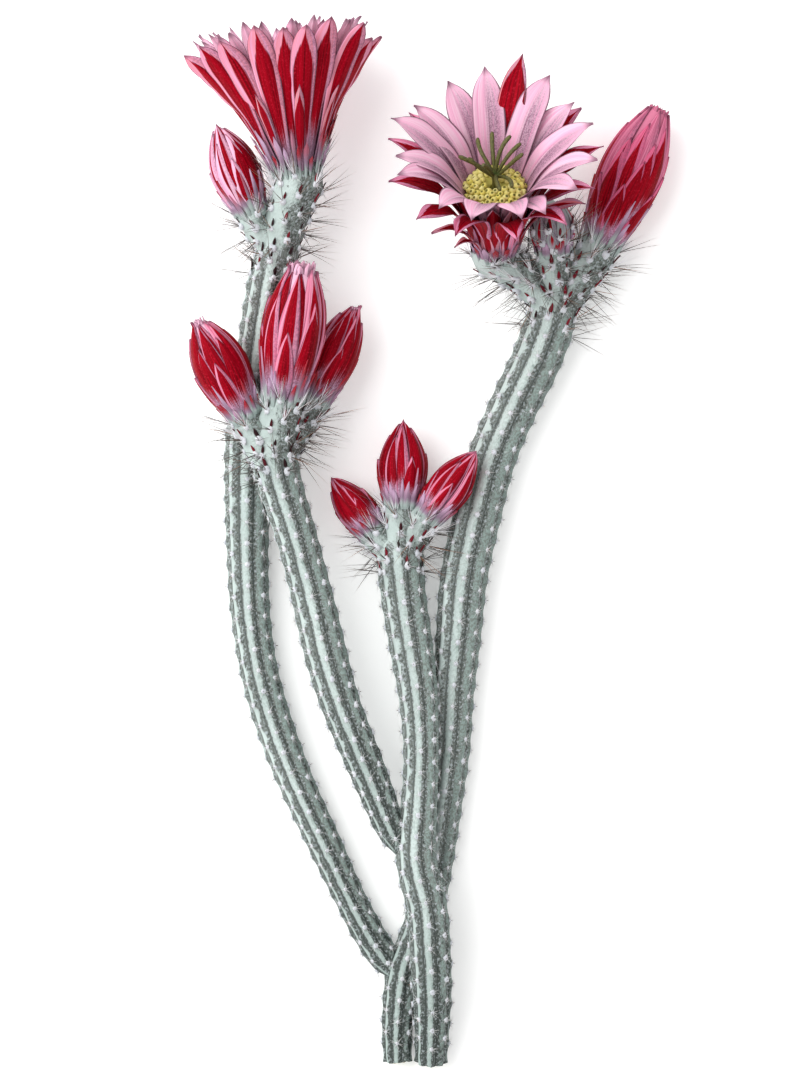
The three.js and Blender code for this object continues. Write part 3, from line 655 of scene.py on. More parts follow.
def add_blade(shell, spot, plan, azimuth, rng, thick=0.42, ruffle=0.5, keel=0.2, slot=0, grid=(30, 13)):
    """One tepal: a thin closed blade with a midrib, curled edges and a small point."""
    tone = rng.random()
    s = np.linspace(0, 1, grid[0])[:, None] ** 0.9
    t = np.linspace(-1, 1, grid[1])[None]
    radius, height, slope = blade_line(plan, s)
    outward, across = round_axis(np.array([azimuth, azimuth + QUARTER]), 1, 0)
    inward = UP * np.sin(slope) - outward * np.cos(slope)
    roll = plan.get("twist", 0) * math.sin(azimuth) * smooth(s, 0.15, 0.75)
    aside = across * np.cos(roll) + inward * np.sin(roll)
    inward = (inward * np.cos(roll) - across * np.sin(roll))[:, None]
    half = np.maximum(tepal_width(plan, s), 0.16) / 2
    sway = plan["width"] * plan.get("sway", 0.12) * rng.uniform(-1, 1) * s**2
    phase = rng.uniform(0, TURN, 2)
    wave = np.where(t < 0, np.sin(s * 17 + phase[0]), np.sin(s * 15 + phase[1]))
    lift = half * plan.get("cup", TEPAL_CUPPING) * np.abs(t) ** 1.5 * 1.1
    lift = lift + ruffle * smooth(s, 0.25, 0.8) * wave * np.abs(t) ** 3 - keel * bell(t / 0.16)
    centre = (outward * radius + UP * height)[:, None] + aside[:, None] * (half * t + sway)[..., None]
    centre = centre + inward * lift[..., None]
    body = inward * (thick / 2 * np.sqrt(1 - t**4) * (1 - 0.6 * s))[..., None]
    # The half of the tepal that takes painted shade.
    shaded = 1 if (across @ spot[1]) @ SHADE_SIDE > 0 else -1
    where = triples(folded(t, t) * shaded, s, folded(t * 0 + 1, t * 0 - 1))
    add_loft(shell, spot, folded(centre + body, centre - body), where, tone, slot, turned=True)


def add_cup(shell, spot, plan, low):
    """A ring of tepals, placed as in the frame's own model."""
    rng = default_rng(plan["seed"])
    for n in range(plan["count"]):
        drift = between((-plan["drift"], plan["drift"]), draw(plan["seed"] + n))
        stretch = between(TEPAL_STRETCH, draw(plan["seed"] + n + 0.5))
        azimuth = plan["turn"] + n / plan["count"] * TURN + drift
        upper = max(0, math.cos(azimuth))
        lean, flare, longer = plan["upper"]
        blade = dict(
            plan,
            length=plan["length"] * stretch * (1 + longer * upper),
            lean=plan["lean"] + lean * upper,
            flare=plan["flare"] + flare * upper,
            root=plan["root"] + (TEPAL_LAYER if n % 2 else 0),
            rise=low + CUP_RING / 2,
        )
        add_blade(shell, spot, blade, azimuth, rng)


def add_rim_bracts(shell, spot, shoot, count, lengths, widths, flare, rise, slot, seed):
    """Short pointed scales or tepals that rise from the rim of a tube."""
    rng = default_rng(seed)
    lean = shoot["outer"]["lean"]
    for n in range(count):
        plan = dict(length=rng.uniform(*lengths), width=rng.uniform(*widths), lean=lean * 0.8,
                    flare=lean + rng.uniform(*flare), root=shoot["base"][3] - 0.4, rise=rise, cup=0.2)
        azimuth = (n + rng.uniform(-0.3, 0.3)) / count * TURN + seed
        add_blade(shell, spot, plan, azimuth, rng, thick=0.4, ruffle=0.2, keel=0.15, slot=slot, grid=(16, 9))


# ---- Stamens and style


def add_stamens(shell, spot, top, radius, low, seed):
    """Packed filaments under a dome of anthers, each with a dimple."""
    base, axes = spot
    rng = default_rng(seed)
    profile = np.array([
        (STYLE_BORE, low), (3, low), (radius * 0.62, top * 0.55), (radius * 0.94, top - 2.6),
        (radius * 0.8, top - 1.2), (radius * 0.56, top - 0.5), (radius * 0.36, top - 0.7),
        (STYLE_BORE, top - 1.8),
    ])
    sides = 48
    rings = round_axis(circle(sides), profile[:, :1], profile[:, 1:])
    points = base + rings.reshape(-1, 3) @ axes
    faces = grid_faces(len(profile) + 1, sides)[:, ::-1] % len(points)
    for part in (faces[:-sides], faces[-sides:]):
        shell.add(points, part, (0, 0, -1))
    count = ANTHERS
    share = np.sqrt((np.arange(count) + 0.5) / count)
    spread = STYLE_BORE + (radius * 1.02 - STYLE_BORE) * share
    turn = np.arange(count) * GOLDEN_ANGLE
    height = np.interp(spread, [STYLE_BORE, *(radius * np.array([0.36, 0.56, 0.82, 1.02]))],
                       top + np.array([-1.2, 0, 0.3, -0.5, -2.4])) + rng.uniform(-0.3, 0.3, count)
    outward = round_axis(turn, share, 0.9)
    outward = unit(outward + 0.25 * rng.standard_normal(outward.shape))
    ball, ball_faces = BALL
    pitted = ball.copy()
    pitted[:, 2] -= 0.45 * np.exp(-((ball[:, 0] ** 2 + ball[:, 1] ** 2) / 0.14)) * (ball[:, 2] > 0)
    frames = cross_axes(outward, np.roll(outward, 1, axis=1) + 0.3)
    sizes = np.array([1.0, 0.9, 1.1]) * 0.96 * radius / 9 * rng.uniform(0.85, 1.2, (count, 1))
    origins = base + round_axis(turn, spread, height) @ axes
    add_copies(shell, pitted, ball_faces, origins, frames @ axes, sizes, rng.random(count), ball)


def add_rod(shell, spot, trail, radii, sides, tone):
    """A round rod along a trail of places in the flower's own axes."""
    forward = unit(np.gradient(trail, axis=0))
    one = unit(np.cross(forward, [0.3, 1, 0.2]))
    two = np.cross(forward, one)
    angles = circle(sides)
    rings = trail[:, None] + around(one[:, None], two[:, None], angles) * radii[:, None, None]
    where = triples(np.cos(angles), np.linspace(0, 1, len(trail))[:, None], np.sin(angles))
    add_loft(shell, spot, rings, where, tone, ends=((0, 0, 0), (0, 1, 0)))


def add_style(shell, spot, top, lobes, length, seed):
    rng = default_rng(seed)
    heights = np.linspace(GAP, top + 0.5, 14)
    radii = 0.85 + 0.25 * smooth(heights, top - 3, top)
    add_rod(shell, spot, triples(0, 0, heights), radii, sides=14, tone=0.2)
    s = np.linspace(0, 1, 18)
    radii = 0.66 * np.minimum(1, 1.05 - 0.3 * (1 - s)) * np.sqrt(np.clip((1.03 - s) / 0.08, 0.05, 1))
    for n in range(lobes):
        azimuth = n / lobes * TURN + 0.3 * draw(n)
        step = length * (0.85 + 0.15 * draw(n + 0.5)) / (len(s) - 1)
        angle = np.radians(26 + (24 + 34 * draw(n + 0.2)) * s + 12 * np.sin(s * 3 + n))
        out = np.concatenate([[0], np.cumsum(np.sin(angle[1:]))]) * step
        high = top - 1 + np.concatenate([[0], np.cumsum(np.cos(angle[1:]))]) * step
        turn = azimuth + 0.35 * rng.uniform(-1, 1) * s**2
        add_rod(shell, spot, round_axis(turn, out, high), radii, sides=10, tone=rng.random())


# ---- Buds


def bud_radius(shoot, s):
    start = math.asin(shoot["base"][3] / shoot["radius"])
    end = math.pi * (1 - shoot["blunt"])
    return shoot["radius"] * np.sin(between((start, end), np.clip(s, 0, 1) ** BUD_SWELL))


def add_bud_blade(shell, spot, shoot, azimuth, span, width, lift, rng, tone, gape, slot=0, grid=(22, 11)):
    """A tepal that lies on a bud over a span of its length, edges pressed down."""
    u = np.linspace(0, 1, grid[0])[:, None]
    t = np.linspace(-1, 1, grid[1])[None]
    s = between(span, u)
    risen = smooth(u, 0, 0.2)
    radius = bud_radius(shoot, s) - 0.25 + (lift + 0.25) * risen + gape * smooth(u, 0.7, 1)
    half = np.maximum(np.sin(math.pi * np.clip(0.16 + 0.84 * u**0.85, 0, 1)) ** 0.8, 0.03) * width / 2
    angle = azimuth + 0.1 * rng.uniform(-1, 1) * u + half * t / np.maximum(radius, 1.2)
    closed = 1 if "fray" in shoot else 1 - 0.95 * smooth(s, 0.93, 1)
    crown = (0.42 * (1 - t**2) + 0.12 * bell(t / 0.15)) * (0.3 + 0.7 * risen)
    low = np.maximum(radius - 0.5 * (1 - t**4), 0)
    height = GAP + shoot["length"] * s
    upper, lower = (round_axis(angle, face * closed, height) for face in (radius + crown, low))
    add_loft(shell, spot, folded(upper, lower), triples(folded(t, t), u, s), tone, slot)


def add_bud(shell, shoot, seed):
    """A core with layers of tepals on it, the short outer ones last."""
    rng = default_rng(seed)
    spot = shoot_axes(shoot)
    s = np.linspace(0, 1, 26)[:, None]
    rings = round_axis(circle(40), np.maximum(bud_radius(shoot, s) - 0.8, 0.1), GAP + shoot["length"] * s)
    add_loft(shell, spot, rings, BUD_CORE, tone=0.3, slot=2 if "fray" in shoot else 0)
    furthest = 1.05 if shoot["blunt"] > 0.06 else 1
    for row, (count, span, cover, lift) in enumerate(shoot.get("layers", LONG_LAYERS)):
        for n in range(count):
            azimuth = (n + 0.5 * row + 0.18 * rng.uniform(-1, 1)) / count * TURN + 0.3 * row
            reach = min(span[1] * (rng.uniform(0.9, 1.08) if row else 1), furthest)
            tone = rng.random()
            # Painted shade: the tones follow the side of the bud, so its right side, away from the lamp, gets
            # wider and darker crimson.
            if "blush" in shoot:
                tone = between((tone, 0.5 + 0.5 * math.sin(azimuth)), shoot["blush"])
            width = TURN * shoot["radius"] / count * cover
            add_bud_blade(shell, spot, shoot, azimuth, (span[0], reach), width, lift, rng, tone,
                          gape=0.1 if row else 0, slot=2 if row == 0 and "layers" in shoot else 0)
    add_bud_bracts(shell, spot, shoot, rng)
    if "fray" in shoot:
        add_frayed_tip(shell, spot, shoot, rng)


def add_bud_bracts(shell, spot, shoot, rng):
    """Two rings of small scales over the joint of a bud and its tube."""
    low = 3.2 / shoot["length"]
    count = 11
    for row in range(2):
        for n in range(count):
            azimuth = (n + 0.5 * row + 0.3 * rng.uniform(-1, 1)) / count * TURN
            span = (-low * rng.uniform(0.6, 1.1), rng.uniform(0.14, 0.42) * (1 - 0.4 * row))
            width = rng.uniform(1.5, 2.8)
            add_bud_blade(shell, spot, shoot, azimuth, span, width, 0.2 + 0.15 * row, rng, rng.random(),
                          gape=0.12, slot=1, grid=SMALL_GRID)


def add_frayed_tip(shell, spot, shoot, rng):
    """Pointed tips of the inner tepals in the mouth of an opening bud."""
    mouth = bud_radius(shoot, 1.0)
    depth = 4
    for ring, count in ((0.95, 12), (0.6, 8), (0.28, 4)):
        for n in range(count):
            over = rng.uniform(0.3, 0.9) * mouth * shoot["fray"]
            plan = dict(length=depth + over, width=mouth * 0.5, lean=-8 * ring, flare=4 * ring, sway=0.3,
                        root=mouth * ring, rise=GAP + shoot["length"] - depth)
            azimuth = (n + rng.uniform(-0.2, 0.2)) / count * TURN + ring * 5
            add_blade(shell, spot, plan, azimuth, rng, ruffle=0.15, keel=0.05, slot=2, grid=SMALL_GRID)


# ---- Materials


class Value:
    """What a node gives out. Arithmetic with it makes more nodes."""

    def __init__(self, look, socket):
        self.look = look
        self.socket = socket

    def math(self, operation, other=0.0):
        return self.look.value("Math", {0: self, 1: other}, operation=operation)

    def __add__(self, other):
        return self.math("ADD", other)

    def __sub__(self, other):
        return self.math("SUBTRACT", other)

    def __mul__(self, other):
        return self.math("MULTIPLY", other)

    def __abs__(self):
        return self.math("ABSOLUTE")

    def larger(self, other):
        return self.math("MAXIMUM", other)

    def ease(self, low, high, start=0.0, end=1.0):
        """From start to end while this goes from low to high."""
        inputs = {0: self, 1: low, 2: high, 3: start, 4: end}
        return self.look.value("MapRange", inputs, interpolation_type="SMOOTHSTEP")

    def mix(self, a, b):
        """From the colour a to the colour b while this goes from 0 to 1."""
        return self.look.value("Mix", {0: self, 6: a, 7: b}, 2, data_type="RGBA")


class Look:
    """A node material. A colour in it may be a six-digit screen code."""

    def __init__(self, name):
        self.material = bpy.data.materials.new(name)
        self.material.use_nodes = True
        self.tree = self.material.node_tree
        self.tree.nodes.clear()
        self.where = self.value("Attribute", output="Vector", attribute_name="where")
        self.tone = self.value("Attribute", output="Fac", attribute_name="tone")

    def node(self, kind, inputs=(), **settings):
        made = self.tree.nodes.new("ShaderNode" + kind)
        for key, value in settings.items():
            setattr(made, key, value)
        for key, value in dict(inputs).items():
            if isinstance(value, Value):
                self.tree.links.new(value.socket, made.inputs[key])
            else:
                made.inputs[key].default_value = srgb(value) if isinstance(value, str) else value
        return made

    def value(self, kind, inputs=(), output=0, **settings):
        return Value(self, self.node(kind, inputs, **settings).outputs[output])

    def parts(self):
        """The three numbers of where."""
        split = self.node("SeparateXYZ", {0: self.where})
        return [Value(self, socket) for socket in split.outputs]

    def vectors(self, operation, a, b):
        return self.value("VectorMath", {0: a, 1: b}, operation=operation)

    def noise(self, stretch, detail=2.0, roughness=0.5, place=None):
        """Noise at a place, or else at where. Stretch is how fine it is, each way."""
        inputs = {"Vector": self.vectors("MULTIPLY", place or self.where, stretch), "Scale": 1.0,
                  "Detail": detail, "Roughness": roughness}
        return self.value("TexNoise", inputs)

    def grain(self, scale, detail, roughness):
        """Noise in the object's own place, the same each way."""
        place = self.value("TexCoord", output="Object")
        return self.noise((scale, scale, scale), detail, roughness, place)

    def finish(self, color, roughness, bump=(), shine=0.5, sheen=0.0, glow=0.0):
        """The material. Bump is a height, its strength and its depth in metres."""
        inputs = {"Base Color": color, "Roughness": roughness, "Specular IOR Level": shine,
                  "Sheen Weight": sheen, "Emission Color": (1, 1, 1, 1), "Emission Strength": glow}
        if bump:
            inputs["Normal"] = self.value("Bump", zip(("Height", "Strength", "Distance"), bump))
        self.node("OutputMaterial", {0: self.value("BsdfPrincipled", inputs)})
        return self.material


REFLECTED = 0.85  # share of a screen colour's light that the surface sends back under these lamps


def srgb(code):
    """A colour from its six-digit screen code, as linear light."""
    steps = [int(code[k:k + 2], 16) / 255 for k in (0, 2, 4)]
    light = [c / 12.92 if c < 0.04045 else ((c + 0.055) / 1.055) ** 2.4 for c in steps]
    return tuple(REFLECTED * c for c in light) + (1.0,)


MINT = "cedcd8"
SAGE = "abbcb7"
MOSS = "8b9d97"
TUFT = "c3ced2"
FURROW_GREY = "717671"
FURROW_DARK = "2e3430"
MAUVE = "94788f"
LILAC = "c9a6c4"
PINK = "f7acce"
PALE_PINK = "fccfe3"
SALMON = "f698ac"
ROSE = "e86c90"
CRIMSON = "a8001a"
DEEP_CRIMSON = "6c000d"
# The mauve of the painted shade on the tepals.
PAINTED_SHADE_MAUVE = "6b4a62"
INK = "5a3248"


def skin_look():
    """Stem skin: pale ribs, ragged mottled bands of painted shade beside them, and painted shade on the right
    side.
    """
    look = Look("skin")
    _, along, aside = look.parts()
    side = look.tone
    old = along.ease(0.0, OLD_GROWTH, 0.95, 0.0)
    mottle = look.noise((0.85, 0.55, 0), 4.0, 0.75)
    fleck = look.noise((1.6, 1.1, 0), 2.0, 0.6)
    broad = look.noise((0.12, 0.05, 0))
    blotch = look.noise((0.35, 0.13, 0))
    uneven = (mottle - 0.5) * 1.4 + (blotch - 0.5) * 0.9
    # Painted shade: a ragged band beside each rib, wider towards the right side, and a dark line deep in each
    # furrow.
    furrow = (aside + (side - 0.4) * 0.34 + uneven + old * 0.2).ease(0.4, 0.62)
    deep = (aside + (fleck - 0.5) * 0.6).ease(0.96, 1.1)
    base = broad.ease(0.35, 0.65, 0.0, 0.4).mix(MINT, SAGE)
    base = (old * 0.55).mix(base, MOSS)
    # Painted shade on the right side: a darker green and grey flecks.
    base = (side + uneven).ease(0.3, 0.75, 0.0, 0.9).mix(base, MOSS)
    base = (fleck.ease(0.46, 0.58, 0.0, 0.75) * side).mix(base, FURROW_GREY)
    # The colour of the painted shade band: dark and grey with pale flecks, darker on old growth.
    band = fleck.ease(0.34, 0.48).mix(FURROW_DARK, FURROW_GREY)
    band = fleck.ease(0.52, 0.62, 0.0, 0.8).mix(band, TUFT)
    band = (old * fleck.ease(0.44, 0.62, 1.0, 0.3)).mix(band, FURROW_DARK)
    color = (furrow * 0.9).mix(base, band)
    color = (deep * 0.85).mix(color, FURROW_DARK)
    return look.finish(color, 0.7, (fleck + mottle, 0.4, 0.0005), shine=0.25)


def cut_look():
    """Cut end: green skin, pale flesh and a ring of wood round the pith."""
    look = Look("cut_flesh")
    reach = look.parts()[1]
    grain = look.noise((18.0, 4.0, 2.0), 3.0, 0.6)
    color = reach.ease(0.86, 0.97).mix("c6d3ae", "8aa07f")
    wood = reach.ease(0.34, 0.46) * reach.ease(0.72, 0.6)
    color = (wood * 0.8).mix(color, "a58f63")
    color = grain.ease(0.5, 0.75, 0.0, 0.5).mix(color, "7d7350")
    return look.finish(color, 0.7, (grain, 0.5, 0.0004))


def wool_look():
    look = Look("wool")
    fibre = look.grain(5200.0, 3.0, 0.7)
    color = (look.tone * 0.6).mix("f3f5fb", "dae0ea")
    color = fibre.ease(0.55, 0.8, 0.0, 0.35).mix(color, "8f8fa0")
    return look.finish(color, 0.95, (fibre, 0.8, 0.0003), sheen=0.4)


def white_spine_look():
    look = Look("white_spine")
    tip = look.parts()[1].ease(0.2, 1.0)
    return look.finish((look.tone * tip).mix("f4f4f4", "9b958b"), 0.5)


def hair_look():
    look = Look("hair")
    # The glow is painted light that keeps the thin hairs bright.
    return look.finish(look.tone.mix("f8f6fa", "e2e0e6"), 0.6, glow=0.14)


def dark_spine_look():
    look = Look("dark_spine")
    root = look.tone.ease(0.8, 1.0).mix("3f342e", "a87658")
    tip = look.parts()[1].ease(0.45, 1.0, 0.0, 0.75)
    return look.finish(tip.mix(root, "a08878"), 0.45)


def blade_marks(look, dots=(14.0, 115.0)):
    """Place on a tepal, a streaky noise and a dotted one. Dots is how fine that is."""
    across, along, _ = look.parts()
    shift = look.value("CombineXYZ", {0: look.tone * 91.0})
    place = look.vectors("ADD", look.where, shift)
    streak = look.noise((9.0, 1.3, 0.3), 3.0, 0.6, place)
    stipple = look.noise((*dots, 0.3), 2.0, 0.7, place)
    return across, abs(across), along, streak, stipple


def inked(color, aside, along, sides, end, strength):
    """The colour with a dark line along the edges and the tip of a tepal."""
    edge = aside.ease(*sides).larger(along.ease(end, 0.99))
    return (edge * strength).mix(color, INK)


def pink_look(name):
    """Inner tepals: pink, with stippled mauve painted shade beside the midrib on the half away from the lamp
    and at the root, and a dark edge.
    """
    look = Look(name)
    across, aside, along, streak, stipple = blade_marks(look)
    color = streak.ease(0.35, 0.7).mix(PALE_PINK, PINK)
    rough = (streak - 0.5) * 0.55
    place = across + rough
    # Painted shade: a stippled mauve band beside the midrib on the half away from the lamp, and at the root
    # deep in the cup.
    beside = place.ease(-0.3, 0.0) * place.ease(0.4, 1.1, 1.0, 0.2)
    low = (along + rough).ease(0.66, 1.06, 1.0, 0.0)
    root = (along + rough).ease(0.2, 0.75, 0.85, 0.0)
    shade = (beside * low).larger(root) * stipple.ease(0.35, 0.65, 0.45, 0.85)
    color = shade.mix(color, PAINTED_SHADE_MAUVE)
    midrib = aside.ease(0.0, 0.07, 0.75, 0.0) * along.ease(0.45, 0.9, 1.0, 0.0)
    color = inked(midrib.mix(color, INK), aside, along, (0.88, 0.97), 0.93, 0.7)
    return look.finish(color, 0.6, (streak, 0.3, 0.0006), shine=0.2)


def crimson_look(name, width, margins, root=MAUVE, root_end=0.32, varied=0.0, dots=(8.0, 75.0),
                 ends=(0.12, 0.5)):
    """Outer tepals: a crimson stripe that tapers to both ends, between lighter margins, with painted shade on
    the half away from the lamp and painted highlight flecks in the stripe.
    """
    look = Look(name)
    across, aside, along, streak, stipple = blade_marks(look, dots)
    light = streak.ease(0.4, 0.65).mix(*margins)
    # Painted shade: stippled mauve on the margin of the half away from the lamp.
    shaded = across.ease(-0.3, 0.9) * stipple.ease(0.36, 0.64, 0.2, 0.6)
    light = shaded.mix(light, PAINTED_SHADE_MAUVE)
    other_tone = (look.tone * 7.3).math("FRACT")
    middle = other_tone.ease(0.0, 1.0, 0.56 - varied, 0.56 + varied)
    bulge = abs(along - middle).ease(*ends, 1.0, 0.0)
    reach = bulge * look.tone.ease(0.0, 1.0, *width)
    stripe = (reach + (streak - 0.5) * 0.42 - aside).ease(-0.03, 0.06)
    red = streak.ease(0.4, 0.66).mix(CRIMSON, DEEP_CRIMSON)
    # A painted highlight of lighter red flecks, then painted shade that darkens the stripe towards its shaded
    # edge.
    red = stipple.ease(0.52, 0.75, 0.0, 0.5).mix(red, "e02a44")
    red = across.ease(0.1, 0.95, 0.0, 0.45).mix(red, "52000a")
    rim = stripe.ease(0.05, 0.45) * stripe.ease(0.6, 0.95, 1.0, 0.0)
    color = (rim * 0.5).mix(stripe.mix(light, red), INK)
    low = (along + (streak - 0.5) * 0.6).ease(root_end * 0.35, root_end, 1.0, 0.0)
    mottled = stipple.ease(0.4, 0.62).mix(root, LILAC)
    color = (low * 0.85).mix(color, mottled)
    color = inked(color, aside, along, (0.9, 0.98), 0.95, 0.6)
    return look.finish(color, 0.6, (streak, 0.2, 0.0005), shine=0.05)


def scale_look():
    """Small scales of the tubes: green roots, then crimson to nearly black points."""
    look = Look("scale")
    _, _, along, streak, _ = blade_marks(look)
    tip = look.tone.ease(0.3, 0.9).mix("2a0c12", "7e1024")
    return look.finish((along + streak * 0.2).ease(0.1, 0.4).mix(SAGE, tip), 0.6, shine=0.2)


def bract_look():
    """Scales at a tube's rim: grey-green at the root, mauve, then crimson or lilac points."""
    look = Look("bract")
    _, aside, along, streak, stipple = blade_marks(look)
    reach = along + (streak - 0.5) * 0.5
    color = reach.ease(0.15, 0.42).mix(SAGE, MAUVE)
    color = reach.ease(0.4, 0.8).mix(color, look.tone.ease(0.25, 0.75).mix(CRIMSON, LILAC))
    color = stipple.ease(0.5, 0.75, 0.0, 0.4).mix(color, "e6d5e4")
    color = aside.ease(0.85, 0.99, 0.0, 0.5).mix(color, INK)
    return look.finish(color, 0.6, (streak, 0.2, 0.0005), shine=0.15)


def anther_look():
    """Anthers: yellow, with painted shade below, and a dark pit at the top of each."""
    look = Look("anther")
    x, y, z = look.parts()
    pit = (x * x + y * y).math("SQRT").ease(0.34, 0.5, 1.0, 0.0) * z.ease(0.0, 0.3)
    color = look.tone.mix("f8f0a4", "ede070")
    # Painted shade on the underside of each anther and on the filaments beneath them.
    color = z.ease(-0.5, -1.0).mix(color, "d2c868")
    return look.finish((pit * 0.95).mix(color, "66641f"), 0.7, shine=0.2)


def style_look():
    look = Look("style")
    grain = look.noise((3.0, 13.5, 3.0), 3.0, 0.6)
    color = grain.ease(0.35, 0.65).mix("6b6a2c", "3a3a12")
    color = look.parts()[1].ease(0.0, 0.25, 0.6, 0.0).mix(color, "3b6f38")
    return look.finish(color, 0.6, (grain, 0.4, 0.0003))


def floor_look():
    look = Look("paper_floor")
    grain = look.grain(60.0, 4.0, 0.6)
    # The glow is painted light that lifts the shadows on the floor.
    return look.finish(grain.mix((0.9, 0.9, 0.895, 1), (0.93, 0.93, 0.925, 1)), 0.9, glow=0.28)


# ---- The plant


def hand_over(shell, name, slot, looks, *nodes):
    piece = shell.make(name, looks)
    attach(piece, "root")
    if nodes:
        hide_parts(*nodes)


def shoot_areoles(line, shoot, seed):
    """The areoles of a shoot's tube, and those on its bud if that has tufts."""
    areoles = line.areoles(*tube_scales(line, seed), TUBERCLE[2] - TUBE_SUNK)
    return np.concatenate([areoles, bud_areoles(shoot)]) if "tufts" in shoot else areoles


def build_stem(k, name, looks):
    """One stem with its branch and tubes, and what grows on its areoles."""
    shells = {kind: Shell() for kind in looks}
    skin, wool, stars, hairs, bristles, scales = shells.values()
    lines = [add_stem(skin, route, n == 0, 3 + n + 5 * k) for n, route in enumerate(STEMS[name])]
    tubes = []
    for n, shoot in enumerate(SHOOTS):
        if shoot["stem"] == name:
            line = add_tube(skin, shoot, n)
            tubes.append((line, shoot_areoles(line, shoot, n), shoot.get("hairs", 10)))
    solids = lines + [line for line, _, _ in tubes]
    for n, line in enumerate(lines):
        spots = open_areoles(stem_areoles(line, n == 0), line, solids)
        add_wool(wool, spots, size=0.64, seed=20 * k + n)
        add_stars(stars, spots, count=10, length=(1.2, 3.0), width=0.075, seed=30 * k + n)
        add_bristles(bristles, spots, count=2, length=(0.9, 1.8), seed=80 * k + n, lean=(0.1, 0.1))
        tubes.append((line, crown_areoles(line, 7 + n), 0))
    for n, (line, spots, strands) in enumerate(tubes):
        spots = open_areoles(spots, line, solids)
        add_wool(wool, spots, size=1.0, seed=40 * k + n)
        add_stars(stars, spots, count=7, length=(1.6, 3.8), width=0.09, seed=50 * k + n, tilt=0.9)
        if strands:
            add_hairs(hairs, near_end(line, spots, HAIRY_END), strands, length=(4, 10), seed=90 * k + n)
        add_bristles(bristles, spots, count=4, length=(7, 15), seed=60 * k + n, lean=(-0.1, 0.95))
        add_tube_scales(scales, spots, seed=70 * k + n)
    for kind, shell in shells.items():
        slot = "outer_tepal" if kind == "scales" else "stem"
        hand_over(shell, f"{name}_{kind}", slot, looks[kind], *([name] if kind == "skin" else []))


def build_stems():
    looks = dict(
        skin=(skin_look(), cut_look()), wool=[wool_look()], white_spines=[white_spine_look()],
        hairs=[hair_look()], bristles=[dark_spine_look()], scales=[scale_look()],
    )
    for k, name in enumerate(STEMS):
        build_stem(k, name, looks)


def build_blooms():
    pink, bract = pink_look("pink_tepal"), bract_look()
    red = crimson_look("short_outer_tepal", (0.5, 1.1), ("ee8f98", LILAC), root_end=0.25, varied=0.1)
    tall = crimson_look("tall_outer_tepal", (0.22, 0.74), (SALMON, PINK), root_end=0.24, varied=0.1,
                        ends=(0.2, 0.56))
    wide = crimson_look("open_outer_tepal", (0.7, 1.2), (PINK, ROSE), root_end=0.2)
    anther, style = anther_look(), style_look()
    middle = GAP + CUP_RING + GAP
    high = middle + CUP_RING + GAP
    for shoot, look, seed in ((TALL_BLOOM, tall, 100), (OPEN_BLOOM, wide, 200)):
        name = shoot["name"]
        spot = shoot_axes(shoot)
        outer, inner, stamens, lobes = (Shell() for _ in range(4))
        add_cup(outer, spot, shoot["outer"], GAP)
        for bracts in shoot["bracts"]:
            add_rim_bracts(outer, spot, shoot, *bracts, seed + bracts[0])
        rng = default_rng(seed)
        for azimuth, *sizes in shoot["accents"]:
            plan = dict(zip(("length", "width", "lean", "flare", "root", "rise"), sizes))
            add_blade(outer, spot, plan, azimuth, rng, slot=1)
        add_cup(inner, spot, shoot["inner"], middle)
        add_stamens(stamens, spot, *shoot["stamens"], high, seed)
        add_style(lobes, spot, **shoot["style"], seed=seed)
        hand_over(outer, name + "_outer", "outer_tepal", (look, red, bract), name + "_outer_tepals")
        hand_over(inner, name + "_inner", "inner_tepal", (pink,), name + "_inner_tepals")
        hand_over(stamens, name + "_anthers", "stamen", (anther,), name + "_stamens")
        hand_over(lobes, name + "_stigma", "style", (style,), name + "_style")


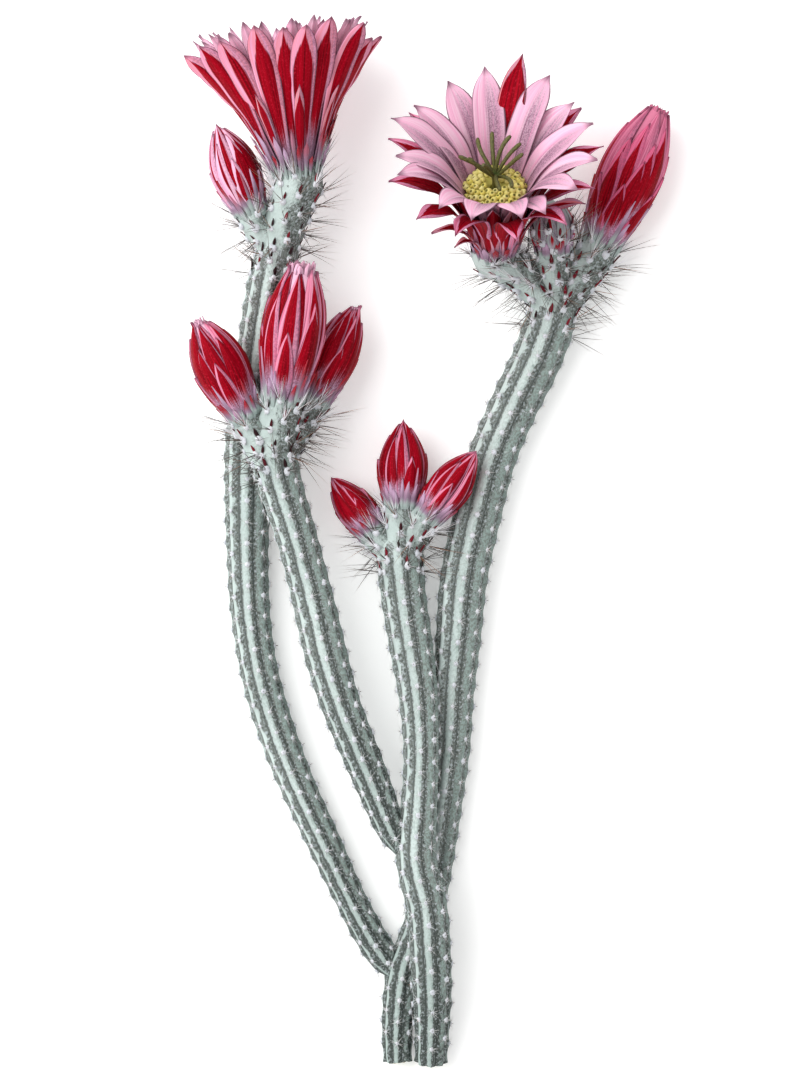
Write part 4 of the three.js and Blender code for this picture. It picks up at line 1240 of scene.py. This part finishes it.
def build_buds():
    dots = (5.0, 40.0)
    red = crimson_look("bud_tepal", (0.46, 0.98), ("ee9cb8", "dd6c8c"), root_end=0.38,
                       varied=0.08, dots=dots, ends=(0.2, 0.54))
    pale = crimson_look("side_bud_tepal", (0.05, 1.05), (PINK, PALE_PINK), root_end=0.2, varied=0.15,
                        dots=dots)
    young = crimson_look("young_bud_tepal", (0.0, 0.35), (SAGE, MAUVE), root=SAGE, root_end=0.5,
                         varied=0.1, dots=dots)
    rosy = crimson_look("right_bud_tepal", (0.3, 0.95), ("e8749a", "d04c72"), root_end=0.36,
                        varied=0.1, dots=dots, ends=(0.08, 0.52))
    cap = crimson_look("right_bud_cap_tepal", (-0.3, 0.2), ("e488a6", "c4587c"), dots=dots)
    looks = {"tall_side_bud": pale, "right_young_bud": young, "right_bud": rosy}
    bract, pink = bract_look(), pink_look("bud_mouth_tepal")
    for n, shoot in enumerate(BUDS):
        shell = Shell()
        add_bud(shell, shoot, 200 + n)
        skins = (looks.get(shoot["name"], red), bract, cap if "layers" in shoot else pink)
        hand_over(shell, shoot["name"] + "_tepals", "outer_tepal", skins, shoot["name"])


# ---- Floor, light and camera


def build_stage():
    floor_mesh = bpy.data.meshes.new("floor")
    reach = 3.0
    corners = [(-reach, -reach, 0), (reach, -reach, 0), (reach, reach, 0), (-reach, reach, 0)]
    floor_mesh.from_pydata(corners, [], [(0, 1, 2, 3)])
    floor_mesh.materials.append(floor_look())
    floor = put_in_scene("floor", floor_mesh)
    world = bpy.data.worlds.new("studio")
    bpy.context.scene.world = world
    world.use_nodes = True
    background = world.node_tree.nodes["Background"]
    background.inputs["Color"].default_value = (1, 1, 1, 1)
    background.inputs["Strength"].default_value = 0.78
    lamp = bpy.data.lights.new("key", "AREA")
    lamp.size = 1.6
    lamp.energy = 28
    key = put_in_scene("key", lamp, (-1.0, 0.5, 1.2))
    key.rotation_euler = (-key.location).to_track_quat("-Z", "Y").to_euler()


def build_camera():
    lens = bpy.data.cameras.new("camera")
    lens.sensor_fit = "VERTICAL"
    lens.sensor_height = 36
    lens.lens = 200
    lens.clip_end = 20
    scene = bpy.context.scene
    scene.camera = put_in_scene("camera", lens, (-0.009, 0.00105, 1.79))
    scene.view_settings.view_transform = "Standard"


build_camera()
build_stage()
build_stems()
build_blooms()
build_buds()
